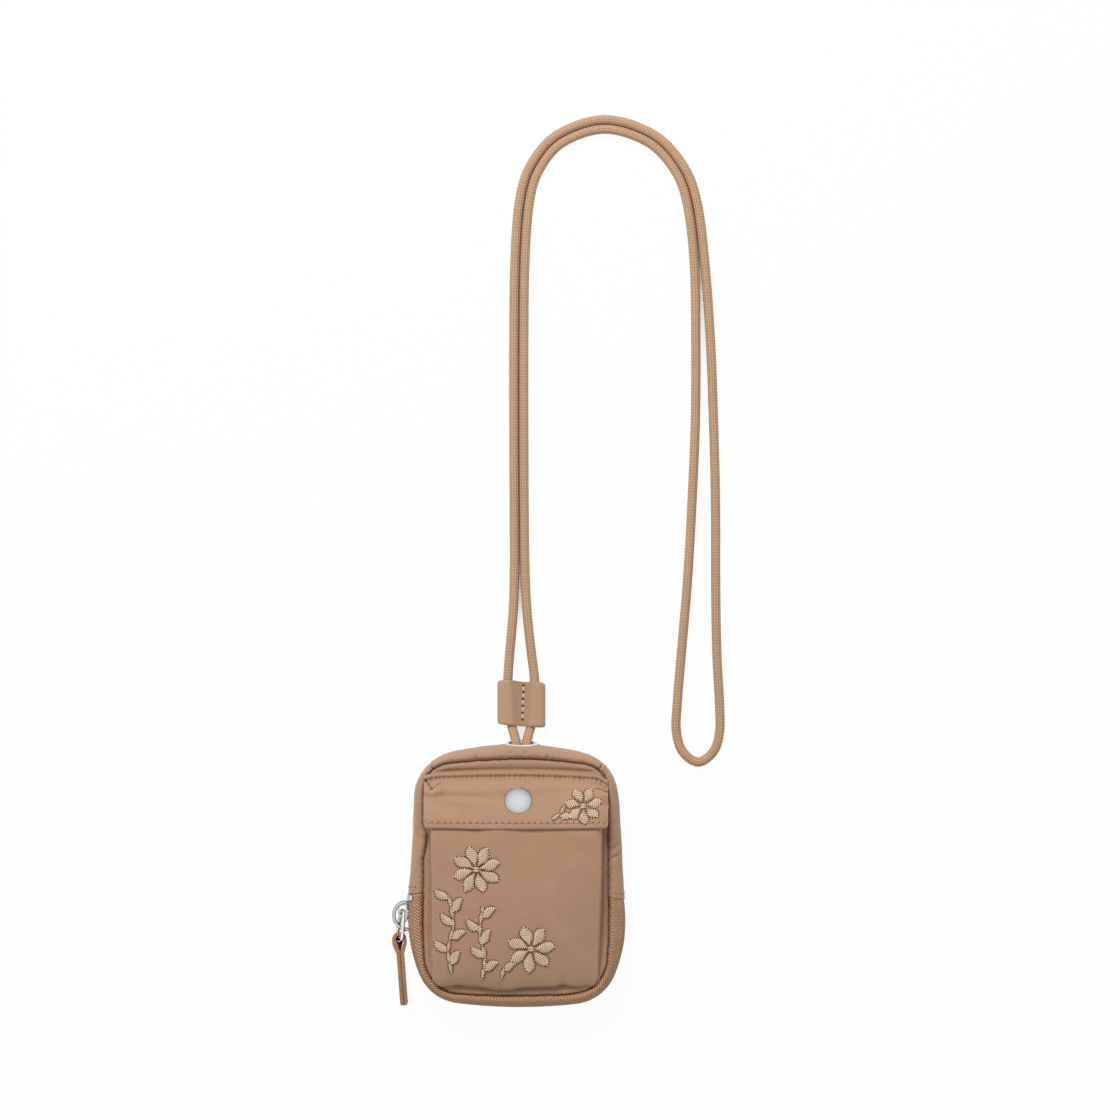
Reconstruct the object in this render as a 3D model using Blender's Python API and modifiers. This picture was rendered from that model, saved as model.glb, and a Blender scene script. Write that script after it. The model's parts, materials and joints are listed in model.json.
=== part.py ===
"""Neck pouch wallet: a small zipped pouch with a snap-flap pocket, hung on a long round cord.

The pouch lies on its back. +X is its right side seen from the front, +Y its top and +Z its front.
The origin is the middle of the back panel's outer face.
"""

import math
from collections import namedtuple

import bmesh
import bpy
from mathutils import Matrix, Vector

MM = 0.001
CLEAR = 0.3 * MM
SHEET_GAP = 0.2 * MM
MERGE = 1e-6
JOIN = 0.2 * MM
ROUND_STEPS = 24
CORNER_STEPS = 6
POCKET_STEPS = 22
BELLOWS_STEPS = 14

# Pouch outline at mid depth, where the gusset bulges most
BODY_HEIGHT = 120.0 * MM
BODY_WIDTH = 100.4 * MM
BODY_DEPTH = 18.4 * MM
WIDEST_Y = -19.2 * MM
SIDE_FLARE = math.radians(3.0)
SIDE_BOW = 13.12 * MM
TOP_RADIUS = 152.0 * MM
UPPER_CORNER_RADIUS = 21.7 * MM
LOWER_CORNER_RADIUS = 21.0 * MM
BOTTOM_RADIUS = 305.0 * MM

# Seam line of the two panels, inside the bulge of the gusset
SIDE_BULGE = 7.3 * MM
TOP_BULGE = 6.0 * MM
BOTTOM_BULGE = 4.6 * MM
SEAM_FLARE = math.radians(0.4)
SEAM_SIDE_BOW = 2.19 * MM
SEAM_TOP_RADIUS = 230.0 * MM
SEAM_UPPER_CORNER = 12.0 * MM
SEAM_LOWER_CORNER = 17.0 * MM
SEAM_BOTTOM_RADIUS = 400.0 * MM

# Cloth and what lines it
PANEL_THICKNESS = 1.0 * MM
GUSSET_THICKNESS = 0.8 * MM
LINING_THICKNESS = 0.4 * MM
BINDING_WIDTH = 5.0 * MM
BINDING_THICKNESS = 1.0 * MM
BINDING_INSET = 0.6 * MM
BULGE_POWER = 4.0
SEAM_GAP = GUSSET_THICKNESS

# Zip round the lower half of the gusset
ZIP_END_Y = -10.0 * MM
TAPE_THICKNESS = 0.6 * MM
TAPE_SPLIT = 2.4 * MM
COIL_SEAT = 2.2 * MM
COIL_HEIGHT = 1.6 * MM
COIL_WIDTH = 4.4 * MM
TOOTH_PITCH = 2.2 * MM
TOOTH_WIDTH = 0.6 * MM
TOOTH_INSET = 0.2 * MM
STOP_LENGTH = 1.6 * MM
STOP_WIDTH = 1.7 * MM
STOP_HEIGHT = 1.2 * MM
STOP_OVERHANG = 0.5 * MM
STOP_CORNER = 0.3 * MM
BOTTOM_STOP_LENGTH = 2.4 * MM
BOTTOM_STOP_MARGIN = 0.4 * MM
BOTTOM_STOP_CORNER = 0.5 * MM

# Zip slider, its ring and its leather pull
SLIDER_Y = -17.0 * MM
SLIDER_LENGTH = 9.0 * MM
SLIDER_PLATE = 0.8 * MM
SLIDER_CLEAR = 0.4 * MM
FLANGE_WALL = 0.6 * MM
FLANGE_START = 0.4 * MM
FLANGE_END_MARGIN = 1.0 * MM
SLIDER_TAIL_WIDTH = COIL_WIDTH + 2 * (SLIDER_CLEAR + FLANGE_WALL)
SLIDER_FRONT_WIDTH = SLIDER_TAIL_WIDTH + 1.0 * MM
SLIDER_NOSE = 1.2 * MM
SLIDER_SHOULDER = 1.4 * MM
SLIDER_WAIST = 0.2 * MM
SLIDER_CORNER = 0.8 * MM
DIAMOND_LENGTH = 3.4 * MM
DIAMOND_WIDTH = 1.7 * MM
DIAMOND_NOSE = 1.1 * MM
DIAMOND_TAIL = 0.3 * MM
DIAMOND_SHOULDER = 1.0 * MM
DIAMOND_INSET = 0.3 * MM
RING_WIRE = 1.4 * MM
BRIDGE_WIDTH = 1.4 * MM
BRIDGE_BAR = 0.8 * MM
BRIDGE_OPENING = RING_WIRE + 1.4 * MM
BRIDGE_FRONT_MARGIN = 1.1 * MM
BRIDGE_TAIL_MARGIN = 2.1 * MM
BRIDGE_BEND = 0.9 * MM
RING_LENGTH = 13.5 * MM
RING_BEND = 2.0 * MM
RING_TOP_WIDTH = 5.2 * MM
RING_BOTTOM_WIDTH = 8.6 * MM
RING_TWIST = math.radians(18.0)
RING_LEAN = math.radians(4.5)
PULL_LENGTH = 30.2 * MM
PULL_WIDTH = 5.4 * MM
PULL_LEATHER = 1.6 * MM
PULL_EYE = RING_WIRE + 2.4 * MM
PULL_EYE_WALL = 1.36 * MM
PULL_EYE_LENGTH = 6.5 * MM
PULL_NECK_BEND = 3.0 * MM
PULL_END_CORNER = 0.9 * MM
PULL_SLIT = 0.2 * MM
PULL_LEAN = math.radians(-6.0)

# Front pocket with its bellows side: the flap pulls its mouth in, and its middle stands out
POCKET_CLOTH = 0.7 * MM
POCKET_MOUTH_RISE = 1.8 * MM
POCKET_MOUTH_SLOPE = math.tan(math.radians(24.0))
POCKET_BOTTOM_RISE = 4.3 * MM
POCKET_FACE_SLOPE = math.tan(math.radians(5.5))
POCKET_CREST = 3.0 * MM
POCKET_SIDE_MARGIN = 3.4 * MM
POCKET_TAPER = 1.7 * MM
POCKET_BOTTOM_MARGIN = 4.4 * MM
POCKET_TOP_MARGIN = 14.5 * MM
POCKET_CORNER = 5.0 * MM
POCKET_PLEAT = 2.4 * MM
PLEAT_SHARE = 0.45
BELLOWS_DROP = 4.5 * MM

# Flap over the pocket's mouth
FLAP_CLOTH = 0.7 * MM
FLAP_FACING = 0.4 * MM
FLAP_DROP = 8.0 * MM
FLAP_LENGTH = 23.5 * MM
FLAP_ROOF = 5.5 * MM
FLAP_SIDE_MARGIN = 0.5 * MM
FLAP_CORNER = 2.5 * MM
FACING_MARGIN = 2.0 * MM

# Snap fastener
SNAP_RISE = 10.7 * MM
SNAP_OFFSET = 1.1 * MM
CAP_DIAMETER = 12.9 * MM
CAP_DOME = 1.5 * MM
CAP_RIM = 0.4 * MM
CAP_POST = 3.2 * MM
CAP_UNDERCUT = 0.3 * MM
SOCKET_DIAMETER = 10.4 * MM
SOCKET_HEIGHT = 2.0 * MM
SOCKET_WALL = 0.4 * MM
SOCKET_WEB = 0.3 * MM
SOCKET_LIP = 0.5 * MM
STUD_DIAMETER = 4.4 * MM
STUD_WAIST = 0.4 * MM
STUD_HEAD = 0.6 * MM
STUD_EDGE = 0.2 * MM
STUD_BASE = 9.8 * MM
STUD_BASE_THICKNESS = 0.5 * MM
SHANK_DIAMETER = 1.9 * MM
POST_FLANGE = 9.4 * MM
POST_FLANGE_THICKNESS = 0.5 * MM

# Eyelet in the top of the gusset
EYELET_X = 2.4 * MM
EYELET_SIDE = 3.6 * MM
EYELET_WALL = 0.45 * MM
EYELET_RIM = 1.8 * MM
EYELET_FLANGE_HEIGHT = 0.9 * MM
EYELET_CURL = 0.6 * MM
EYELET_CROWN = 0.8 * MM
WASHER_THICKNESS = 0.5 * MM
WASHER_MARGIN = 0.2 * MM
EYELET_FLAT_POWER = 26.0
EYELET_FLAT_WIDTH = 9.0 * MM

# Cord, its stopper knot and its leather keeper
CORD_DIAMETER = 4.3 * MM
CORD_SIDES_RESOLUTION = 2
CORD_POINT_RUN = 34.0 * MM
CORD_POINT_TURN = math.radians(17.0)
KNOT_WRAPS = 3
KNOT_OVERSIZE = 1.6 * MM
KNOT_ROOM = 1.1 * MM
KNOT_GAP = 0.8 * MM
KEEPER_START = 8.3 * MM
KEEPER_LENGTH = 21.2 * MM
KEEPER_LEATHER = 1.1 * MM
KEEPER_PLAY = 0.9 * MM
KEEPER_TUNNEL_FLAT = 3.6 * MM
KEEPER_TUNNEL_SPACING = 10.6 * MM
KEEPER_VALLEY = 1.5 * MM
KEEPER_TURN = math.radians(-2.0)

# Route of the doubled cord from the eyelet out to its far loop, in millimetres: sideways from the
# eyelet's axis, up from the pouch's top edge, height above the floor, half the two strands' spacing
CORD_RUN = [
    (0.0, -3.0, 8.3, 2.45),
    (0.0, 0.5, 7.5, 2.45),
    (0.0, 4.5, 5.5, 3.3),
    (0.0, 8.5, 3.9, 4.4),
    (0.0, 15.0, 3.7, 5.3),
    (0.0, 24.0, 3.7, 6.1),
    (-0.1, 31.0, 3.7, 6.1),
    (-0.4, 42.8, 3.65, 4.95),
    (-0.6, 61.2, 3.45, 3.2),
    (-0.8, 79.6, 2.7, 2.6),
    (-1.0, 105.0, 2.2, 2.45),
    (-1.2, 145.0, 2.2, 2.4),
    (-1.2, 185.0, 2.2, 2.4),
    (-0.7, 223.0, 2.2, 2.4),
    (1.4, 250.7, 2.2, 2.4),
    (6.4, 266.8, 2.2, 2.4),
    (18.0, 280.0, 2.2, 2.4),
    (38.5, 286.5, 2.2, 2.4),
    (59.5, 280.2, 2.2, 2.4),
    (72.4, 267.0, 2.2, 2.4),
    (78.8, 250.7, 2.2, 2.4),
    (82.3, 223.0, 2.2, 2.5),
    (84.0, 186.3, 2.2, 3.4),
    (84.6, 149.5, 2.2, 4.2),
    (84.3, 112.7, 2.2, 5.4),
    (83.3, 75.9, 2.2, 6.5),
    (82.2, 43.7, 2.2, 8.1),
    (81.8, 18.4, 2.2, 9.8),
    (81.6, 6.0, 2.2, 10.0),
]
CORD_LOOP_END = [(88.9, -3.2, 2.2), (81.7, -8.3, 2.2), (74.4, -3.2, 2.2)]

# Sizes that follow the pouch's depth and the cord
EYELET_BORE = BODY_DEPTH - 2 * EYELET_SIDE
EYELET_FLANGE = EYELET_BORE + 2 * EYELET_RIM
KNOT_DIAMETER = EYELET_BORE + KNOT_OVERSIZE
KEEPER_TUNNEL_HEIGHT = CORD_DIAMETER + KEEPER_PLAY

# Heights above the floor, worked up from the back panel
MID_Z = BODY_DEPTH / 2
FRONT_Z = BODY_DEPTH

# Heights above the pocket panel's outer face where the snap is
STUD_Z = SHEET_GAP
SOCKET_Z = STUD_Z + STUD_BASE_THICKNESS + SHEET_GAP
FACING_Z = SOCKET_Z + SOCKET_HEIGHT + SHEET_GAP
FLAP_Z = FACING_Z + FLAP_FACING + SHEET_GAP
CAP_Z = FLAP_Z + FLAP_CLOTH + SHEET_GAP

# Places in the plane of the panels
BODY_TOP_Y = BODY_HEIGHT / 2
SEAM_TOP_Y = BODY_TOP_Y - TOP_BULGE
SEAM_BOTTOM_Y = BOTTOM_BULGE - BODY_HEIGHT / 2
SEAM_HALF_WIDTH = BODY_WIDTH / 2 - SIDE_BULGE
FLAP_SEAM_Y = SEAM_TOP_Y - FLAP_DROP
FLAP_HEM_Y = FLAP_SEAM_Y - FLAP_LENGTH
SNAP_Y = FLAP_HEM_Y + SNAP_RISE
POCKET_TOP_Y = SEAM_TOP_Y - POCKET_TOP_MARGIN
POCKET_BOTTOM_Y = SEAM_BOTTOM_Y + POCKET_BOTTOM_MARGIN
FLAP_HINGE = Vector((0.0, FLAP_SEAM_Y, FRONT_Z + SHEET_GAP + FLAP_CLOTH / 2))
EYELET_CENTRE = Vector((EYELET_X, BODY_TOP_Y, MID_Z))
EYELET_PLACE = Matrix.Translation(EYELET_CENTRE) @ Matrix.Rotation(-math.pi / 2, 4, "X")

def pocket_height(y):
    """The pocket panel's outer face: up from its mouth, over a round crest and down to its bottom."""
    from_mouth = FRONT_Z + POCKET_MOUTH_RISE + (POCKET_TOP_Y - y) * POCKET_MOUTH_SLOPE
    from_bottom = FRONT_Z + POCKET_BOTTOM_RISE + (y - POCKET_BOTTOM_Y) * POCKET_FACE_SLOPE
    return 0.5 * (from_mouth + from_bottom - math.hypot(from_mouth - from_bottom, POCKET_CREST))


# The snap and the flap lie along the pocket panel's slope at the snap
SNAP_TILT = math.atan((pocket_height(SNAP_Y - CLEAR) - pocket_height(SNAP_Y + CLEAR)) / (2 * CLEAR))
SNAP_CENTRE = Vector((SNAP_OFFSET, SNAP_Y, pocket_height(SNAP_Y)))
SNAP_PLACE = Matrix.Translation(SNAP_CENTRE) @ Matrix.Rotation(-SNAP_TILT, 4, "X")


# The sides bow in by a set amount between the widest place and the bottom edge
def bow_radius(drop, bow):
    return (drop ** 2 + bow ** 2) / (2 * bow)


SIDE_RADIUS = bow_radius(WIDEST_Y + BODY_HEIGHT / 2, SIDE_BOW)
SEAM_SIDE_RADIUS = bow_radius(WIDEST_Y - SEAM_BOTTOM_Y, SEAM_SIDE_BOW)

# Levels of the zip along the outward direction, from the pouch outline at mid depth
COIL_TOP = COIL_HEIGHT + SHEET_GAP - COIL_SEAT
SLIDER_ROOF = COIL_TOP + SLIDER_CLEAR
SLIDER_TOP = SLIDER_ROOF + SLIDER_PLATE
SLIDER_FLOOR = -COIL_SEAT - TAPE_THICKNESS - 1.5 * SLIDER_CLEAR

NYLON = (0.42, 0.26, 0.165)
LINING = (0.33, 0.21, 0.135)
ZIP_TAPE = (0.37, 0.225, 0.135)
LEATHER = (0.45, 0.28, 0.175)
BRAID = (0.47, 0.30, 0.185)
STEEL = (0.72, 0.72, 0.74)

OutlineSpec = namedtuple("OutlineSpec", "top bottom half_width flare side top_r upper_r lower_r bottom_r")

BODY_LINE = OutlineSpec(
    BODY_TOP_Y, BODY_TOP_Y - BODY_HEIGHT, BODY_WIDTH / 2, SIDE_FLARE, SIDE_RADIUS,
    TOP_RADIUS, UPPER_CORNER_RADIUS, LOWER_CORNER_RADIUS, BOTTOM_RADIUS,
)
PANEL_LINE = OutlineSpec(
    SEAM_TOP_Y, SEAM_BOTTOM_Y, SEAM_HALF_WIDTH, SEAM_FLARE, SEAM_SIDE_RADIUS,
    SEAM_TOP_RADIUS, SEAM_UPPER_CORNER, SEAM_LOWER_CORNER, SEAM_BOTTOM_RADIUS,
)


# Scene, materials and parts

def clear_scene():
    for obj in list(bpy.data.objects):
        bpy.data.objects.remove(obj, do_unlink=True)


def collection(name):
    group = bpy.data.collections.new(name)
    bpy.context.scene.collection.children.link(group)
    return group


def material(name, colour, roughness, metallic=0.0):
    made = bpy.data.materials.new(name)
    made.use_nodes = True
    shader = made.node_tree.nodes["Principled BSDF"]
    shader.inputs["Base Color"].default_value = (*colour, 1.0)
    shader.inputs["Roughness"].default_value = roughness
    shader.inputs["Metallic"].default_value = metallic
    return made


def cloth(name, colour=NYLON):
    return material(name + "_cloth", colour, 0.75)


def leather(name):
    return material(name + "_leather", LEATHER, 0.5)


def metal(name):
    return material(name + "_metal", STEEL, 0.3, 1.0)


def add_part(name, data, finish, parent=None, place=None):
    """A named piece in the parts collection, placed under its parent."""
    obj = bpy.data.objects.new(name, data)
    PARTS.objects.link(obj)
    data.materials.clear()
    data.materials.append(finish)
    obj.parent = parent
    if place is not None:
        obj.matrix_local = place
    return obj


def add_axis(name, place, parent=None):
    """An empty on a joint's axis, which carries the pieces that move with it."""
    empty = bpy.data.objects.new(name, None)
    PARTS.objects.link(empty)
    empty.parent = parent
    empty.matrix_local = place
    return empty


def as_cutter(obj):
    obj.hide_render = True
    obj.display_type = "WIRE"
    return obj


def boolean(target, tool, operation):
    cut = target.modifiers.new(operation.title(), "BOOLEAN")
    cut.operation = operation
    cut.object = tool


def shift(x, y, z):
    return Matrix.Translation((x, y, z))


# Outlines

def arc(centre, radius, start, end, steps):
    """Points on an arc from its start up to, but without, its end."""
    turn = (end - start) / steps
    angles = [start + turn * i for i in range(steps)]
    return [centre + radius * Vector((math.cos(a), math.sin(a))) for a in angles]


def straight(start, end, steps):
    return [start.lerp(end, i / steps) for i in range(steps)]


def angle_of(vector):
    return math.atan2(vector.y, vector.x)


def inset(spec, distance):
    """The same outline moved inwards all round."""
    return OutlineSpec(
        spec.top - distance, spec.bottom + distance, spec.half_width - distance, spec.flare,
        spec.side - distance, spec.top_r - distance, spec.upper_r - distance,
        spec.lower_r - distance, spec.bottom_r - distance,
    )


def circles_meet(first, first_radius, second, second_radius):
    """The lower right one of the two points that lie on both circles."""
    between = second - first
    distance = between.length
    along = (distance ** 2 + first_radius ** 2 - second_radius ** 2) / (2 * distance)
    height = math.sqrt(first_radius ** 2 - along ** 2)
    unit = between / distance
    across = Vector((-unit.y, unit.x)) * height
    middle = first + unit * along
    return max(middle + across, middle - across, key=lambda point: point.x - point.y)


def right_half(spec, split_y, fineness=1):
    """The right half of an outline as tangent arcs, in two runs: top to split, and split to bottom."""
    side_centre = Vector((spec.half_width - spec.side, WIDEST_Y))
    top_centre = Vector((0, spec.top - spec.top_r))
    bottom_centre = Vector((0, spec.bottom + spec.bottom_r))
    outward = Vector((math.cos(spec.flare), math.sin(spec.flare)))
    upward = Vector((-outward.y, outward.x))
    side_start = side_centre + outward * spec.side
    base = side_start - outward * spec.upper_r - top_centre
    reach = base.dot(upward)
    rise = math.sqrt(reach ** 2 - base.length_squared + (spec.top_r - spec.upper_r) ** 2) - reach
    upper_centre = side_start - outward * spec.upper_r + upward * rise
    lower_centre = circles_meet(
        side_centre, spec.side - spec.lower_r, bottom_centre, spec.bottom_r - spec.lower_r)
    upper_turn = angle_of(upper_centre - top_centre)
    lower_turn = angle_of(lower_centre - side_centre)
    bottom_turn = angle_of(lower_centre - bottom_centre)
    side_end = side_start + upward * rise
    split = side_start + upward * ((split_y - side_start.y) / upward.y)

    upper = arc(top_centre, spec.top_r, math.pi / 2, upper_turn, 6 * fineness)
    upper += arc(upper_centre, spec.upper_r, upper_turn, spec.flare, 6 * fineness)
    upper += straight(side_end, split, 2 * fineness)
    upper.append(split)
    lower = straight(split, side_start, fineness)
    lower += arc(side_centre, spec.side, spec.flare, lower_turn, 6 * fineness)
    lower += arc(lower_centre, spec.lower_r, lower_turn, bottom_turn, 6 * fineness)
    lower += arc(bottom_centre, spec.bottom_r, bottom_turn, -math.pi / 2, 4 * fineness)
    lower.append(Vector((0, spec.bottom)))
    return upper, lower


def mirrored(points):
    return [Vector((-point.x, point.y)) for point in points]


def upper_run(spec, split_y):
    """From the left end of the zip over the top to its right end."""
    upper, _ = right_half(spec, split_y)
    return mirrored(upper)[:0:-1] + upper


def lower_run(spec, split_y, fineness=1):
    """From the left end of the zip round the bottom to its right end."""
    _, lower = right_half(spec, split_y, fineness)
    return mirrored(lower) + lower[-2::-1]


def whole_loop(spec):
    upper, lower = right_half(spec, ZIP_END_Y)
    half = upper + lower[1:]
    return half + mirrored(half)[-2:0:-1]


def rounded(corners, steps=5):
    """A polygon's points with each corner (x, y, radius) turned into an arc."""
    points = []
    for index, (x, y, radius) in enumerate(corners):
        here = Vector((x, y))
        before = (Vector(corners[index - 1][:2]) - here).normalized()
        after = (Vector(corners[(index + 1) % len(corners)][:2]) - here).normalized()
        if radius == 0:
            points.append(here)
            continue
        half = before.angle(after) / 2
        centre = here + (before + after).normalized() * (radius / math.sin(half))
        start = here + before * (radius / math.tan(half)) - centre
        end = here + after * (radius / math.tan(half)) - centre
        turn = start.angle_signed(end)
        for step in range(steps + 1):
            points.append(centre + Matrix.Rotation(-turn * step / steps, 2) @ start)
    return points


def circle(radius, x, y):
    return arc(Vector((x, y)), radius, 0, 2 * math.pi, ROUND_STEPS)


def rectangle(length, width, corner):
    x, y = length / 2, width / 2
    return rounded([(-x, -y, corner), (-x, y, corner), (x, y, corner), (x, -y, corner)])


def mirror_outline(half):
    """A closed outline from its +Y corners, listed along X."""
    return half + [(x, -y, radius) for x, y, radius in reversed(half)]


# Ways of making a piece

def plate(name, loops, low, high, finish, parent=None, place=None):
    """A flat outline, with any holes as further loops, standing from one height to another."""
    curve = bpy.data.curves.new(name, "CURVE")
    curve.dimensions = "2D"
    curve.fill_mode = "BOTH"
    curve.extrude = (high - low) / 2
    for loop in loops:
        spline = curve.splines.new("POLY")
        spline.points.add(len(loop) - 1)
        for point, (x, y) in zip(spline.points, loop):
            point.co = (x, y, 0.0, 1.0)
        spline.use_cyclic_u = True
    return add_part(name, curve, finish, parent, (place or Matrix()) @ shift(0, 0, (low + high) / 2))


def as_mesh(curve_part):
    """A curve piece turned into a closed mesh piece of the same name and place."""
    bpy.context.view_layer.update()
    evaluated = curve_part.evaluated_get(bpy.context.evaluated_depsgraph_get())
    mesh = bpy.data.meshes.new_from_object(evaluated)
    shape = bmesh.new()
    shape.from_mesh(mesh)
    bmesh.ops.remove_doubles(shape, verts=shape.verts, dist=MERGE)
    shape.to_mesh(mesh)
    shape.free()
    name, finish = curve_part.name, curve_part.data.materials[0]
    parent, place = curve_part.parent, curve_part.matrix_local.copy()
    bpy.data.objects.remove(curve_part, do_unlink=True)
    return add_part(name, mesh, finish, parent, place)


def joined(name, pieces):
    """Plates that overlap, joined into one piece of this name."""
    whole = as_mesh(pieces[0])
    whole.name = name
    for piece in pieces[1:]:
        tool = as_cutter(as_mesh(piece))
        PARTS.objects.unlink(tool)
        CUTTERS.objects.link(tool)
        boolean(whole, tool, "UNION")
    return whole


def loft(name, rows, thickness, finish, parent=None):
    """A cloth skin through rows of points, its outer face given and its thickness inside."""
    shape = bmesh.new()
    grid = [[shape.verts.new(point) for point in row] for row in rows]
    for row, following in zip(grid, grid[1:]):
        for index in range(len(row) - 1):
            shape.faces.new((row[index], row[index + 1], following[index + 1], following[index]))
    mesh = bpy.data.meshes.new(name)
    shape.to_mesh(mesh)
    shape.free()
    skin = add_part(name, mesh, finish, parent)
    solid = skin.modifiers.new("Thickness", "SOLIDIFY")
    solid.thickness = thickness
    solid.offset = -1.0
    return skin


def turned(name, profile, finish, closed, parent=None, place=None):
    """A turned piece from (radius, height) points that run down its outer side."""
    mesh = bpy.data.meshes.new(name)
    edges = [(index, index + 1) for index in range(len(profile) - 1)]
    if closed:
        edges.append((len(profile) - 1, 0))
    mesh.from_pydata([(radius, 0.0, height) for radius, height in profile], edges, [])
    piece = add_part(name, mesh, finish, parent, place)
    screw = piece.modifiers.new("Turn", "SCREW")
    screw.axis = "Z"
    screw.steps = ROUND_STEPS
    screw.render_steps = ROUND_STEPS
    screw.use_merge_vertices = True
    screw.merge_threshold = MERGE
    screw.use_smooth_shade = True
    return piece


def tube(name, points, diameter, resolution, cyclic, finish, parent=None):
    curve = bpy.data.curves.new(name, "CURVE")
    curve.dimensions = "3D"
    curve.bevel_depth = diameter / 2
    curve.bevel_resolution = resolution
    curve.use_fill_caps = not cyclic
    spline = curve.splines.new("POLY")
    spline.points.add(len(points) - 1)
    for point, place in zip(spline.points, points):
        point.co = (*place, 1.0)
    spline.use_cyclic_u = cyclic
    return add_part(name, curve, finish, parent)


def hole_cutter(name, radius, length, place):
    mesh = bpy.data.meshes.new(name)
    shape = bmesh.new()
    bmesh.ops.create_cone(
        shape, cap_ends=True, segments=ROUND_STEPS, radius1=radius, radius2=radius, depth=length)
    shape.to_mesh(mesh)
    shape.free()
    cutter = as_cutter(bpy.data.objects.new(name, mesh))
    CUTTERS.objects.link(cutter)
    cutter.matrix_world = place
    return cutter


# Panels, linings and seam bindings

def make_panels():
    back = whole_loop(PANEL_LINE)
    plate("back_panel", [back], 0.0, PANEL_THICKNESS, cloth("back_panel"))
    plate("front_panel", [back], FRONT_Z - PANEL_THICKNESS, FRONT_Z, cloth("front_panel"))
    binding = [
        whole_loop(inset(PANEL_LINE, BINDING_INSET)),
        whole_loop(inset(PANEL_LINE, BINDING_INSET + BINDING_WIDTH)),
    ]
    lining = [whole_loop(inset(PANEL_LINE, BINDING_INSET + BINDING_WIDTH + CLEAR))]
    back_inside = PANEL_THICKNESS + CLEAR
    front_inside = FRONT_Z - back_inside
    plate("back_seam_binding", binding, back_inside, back_inside + BINDING_THICKNESS,
          cloth("back_seam_binding", LINING))
    plate("front_seam_binding", binding, front_inside - BINDING_THICKNESS, front_inside,
          cloth("front_seam_binding", LINING))
    plate("back_lining", lining, back_inside, back_inside + LINING_THICKNESS, cloth("back_lining", LINING))
    plate("front_lining", lining, front_inside - LINING_THICKNESS, front_inside,
          cloth("front_lining", LINING))


# Gusset and zip tapes

def bulge(share, power):
    """How far the gusset stands out between its two seams, from 0 at a seam to 1 at mid depth."""
    return 1.0 - abs(2.0 * share - 1.0) ** power


def bulge_power(point):
    """The gusset is pulled flat round the eyelet."""
    if point.y < 0:
        return BULGE_POWER
    away = (point.x - EYELET_X) / EYELET_FLAT_WIDTH
    return BULGE_POWER + EYELET_FLAT_POWER * math.exp(-away ** 2)


def gusset_rows(seam, middle, shares):
    """Rows of points across the depth, one for each share of the way from the back seam to the front."""
    low = PANEL_THICKNESS / 2
    high = FRONT_Z - PANEL_THICKNESS / 2
    rows = []
    for share in shares:
        row = []
        for at_seam, at_middle in zip(seam, middle):
            out = at_seam.lerp(at_middle, bulge(share, bulge_power(at_middle)))
            row.append((out.x, out.y, low + (high - low) * share))
        rows.append(row)
    return rows


def make_gusset():
    seam = upper_run(inset(PANEL_LINE, -SEAM_GAP), ZIP_END_Y)
    middle = upper_run(BODY_LINE, ZIP_END_Y)
    steps = 12
    shares = [0.5 - 0.5 * math.cos(math.pi * i / steps) for i in range(steps + 1)]
    rows = gusset_rows(seam, middle, shares)[::-1]
    gusset = loft("upper_gusset", rows, GUSSET_THICKNESS, cloth("upper_gusset"))
    hole_radius = EYELET_BORE / 2 + EYELET_WALL + CLEAR
    hole = hole_cutter("eyelet_hole", hole_radius, 4 * TOP_BULGE, EYELET_PLACE)
    boolean(gusset, hole, "DIFFERENCE")


def make_zip_tapes():
    seam = lower_run(inset(PANEL_LINE, -SEAM_GAP), ZIP_END_Y - CLEAR)
    middle = lower_run(inset(BODY_LINE, COIL_SEAT), ZIP_END_Y - CLEAR)
    depth = FRONT_Z - PANEL_THICKNESS
    edge = 0.5 - TAPE_SPLIT / 2 / depth
    steps = 4
    shares = [edge * (1.0 - math.cos(math.pi / 2 * i / steps)) for i in range(steps + 1)]
    back_rows = gusset_rows(seam, middle, shares)
    front_rows = gusset_rows(seam, middle, [1.0 - share for share in shares[::-1]])
    loft("zip_tape_back", back_rows, TAPE_THICKNESS, cloth("zip_tape_back", ZIP_TAPE))
    loft("zip_tape_front", front_rows, TAPE_THICKNESS, cloth("zip_tape_front", ZIP_TAPE))


# Zip chain: two combs whose teeth mesh

class Track:
    """The zip's path round the lower outline, read by the distance along it from its left end."""

    def __init__(self):
        self.points = lower_run(BODY_LINE, ZIP_END_Y, 4)
        self.marks = [0.0]
        for start, end in zip(self.points, self.points[1:]):
            self.marks.append(self.marks[-1] + (end - start).length)
        self.length = self.marks[-1]

    def frame(self, distance):
        """The point there, the way along the track, and the way out of the pouch."""
        index = 0
        while index < len(self.marks) - 2 and self.marks[index + 1] < distance:
            index += 1
        start, end = self.points[index], self.points[index + 1]
        along = (end - start).normalized()
        return start + along * (distance - self.marks[index]), along, Vector((along.y, -along.x))

    def offset(self, distance, out):
        point, _, outward = self.frame(distance)
        return point + outward * out

    def place(self, distance, out, height):
        """A frame there with X along the track, Y up through the depth and Z out of the pouch."""
        point, along, outward = self.frame(distance)
        turn = Matrix((
            (along.x, 0.0, outward.x),
            (along.y, 0.0, outward.y),
            (0.0, 1.0, 0.0),
        )).to_4x4()
        centre = point + outward * out
        return shift(centre.x, centre.y, height) @ turn


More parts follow.
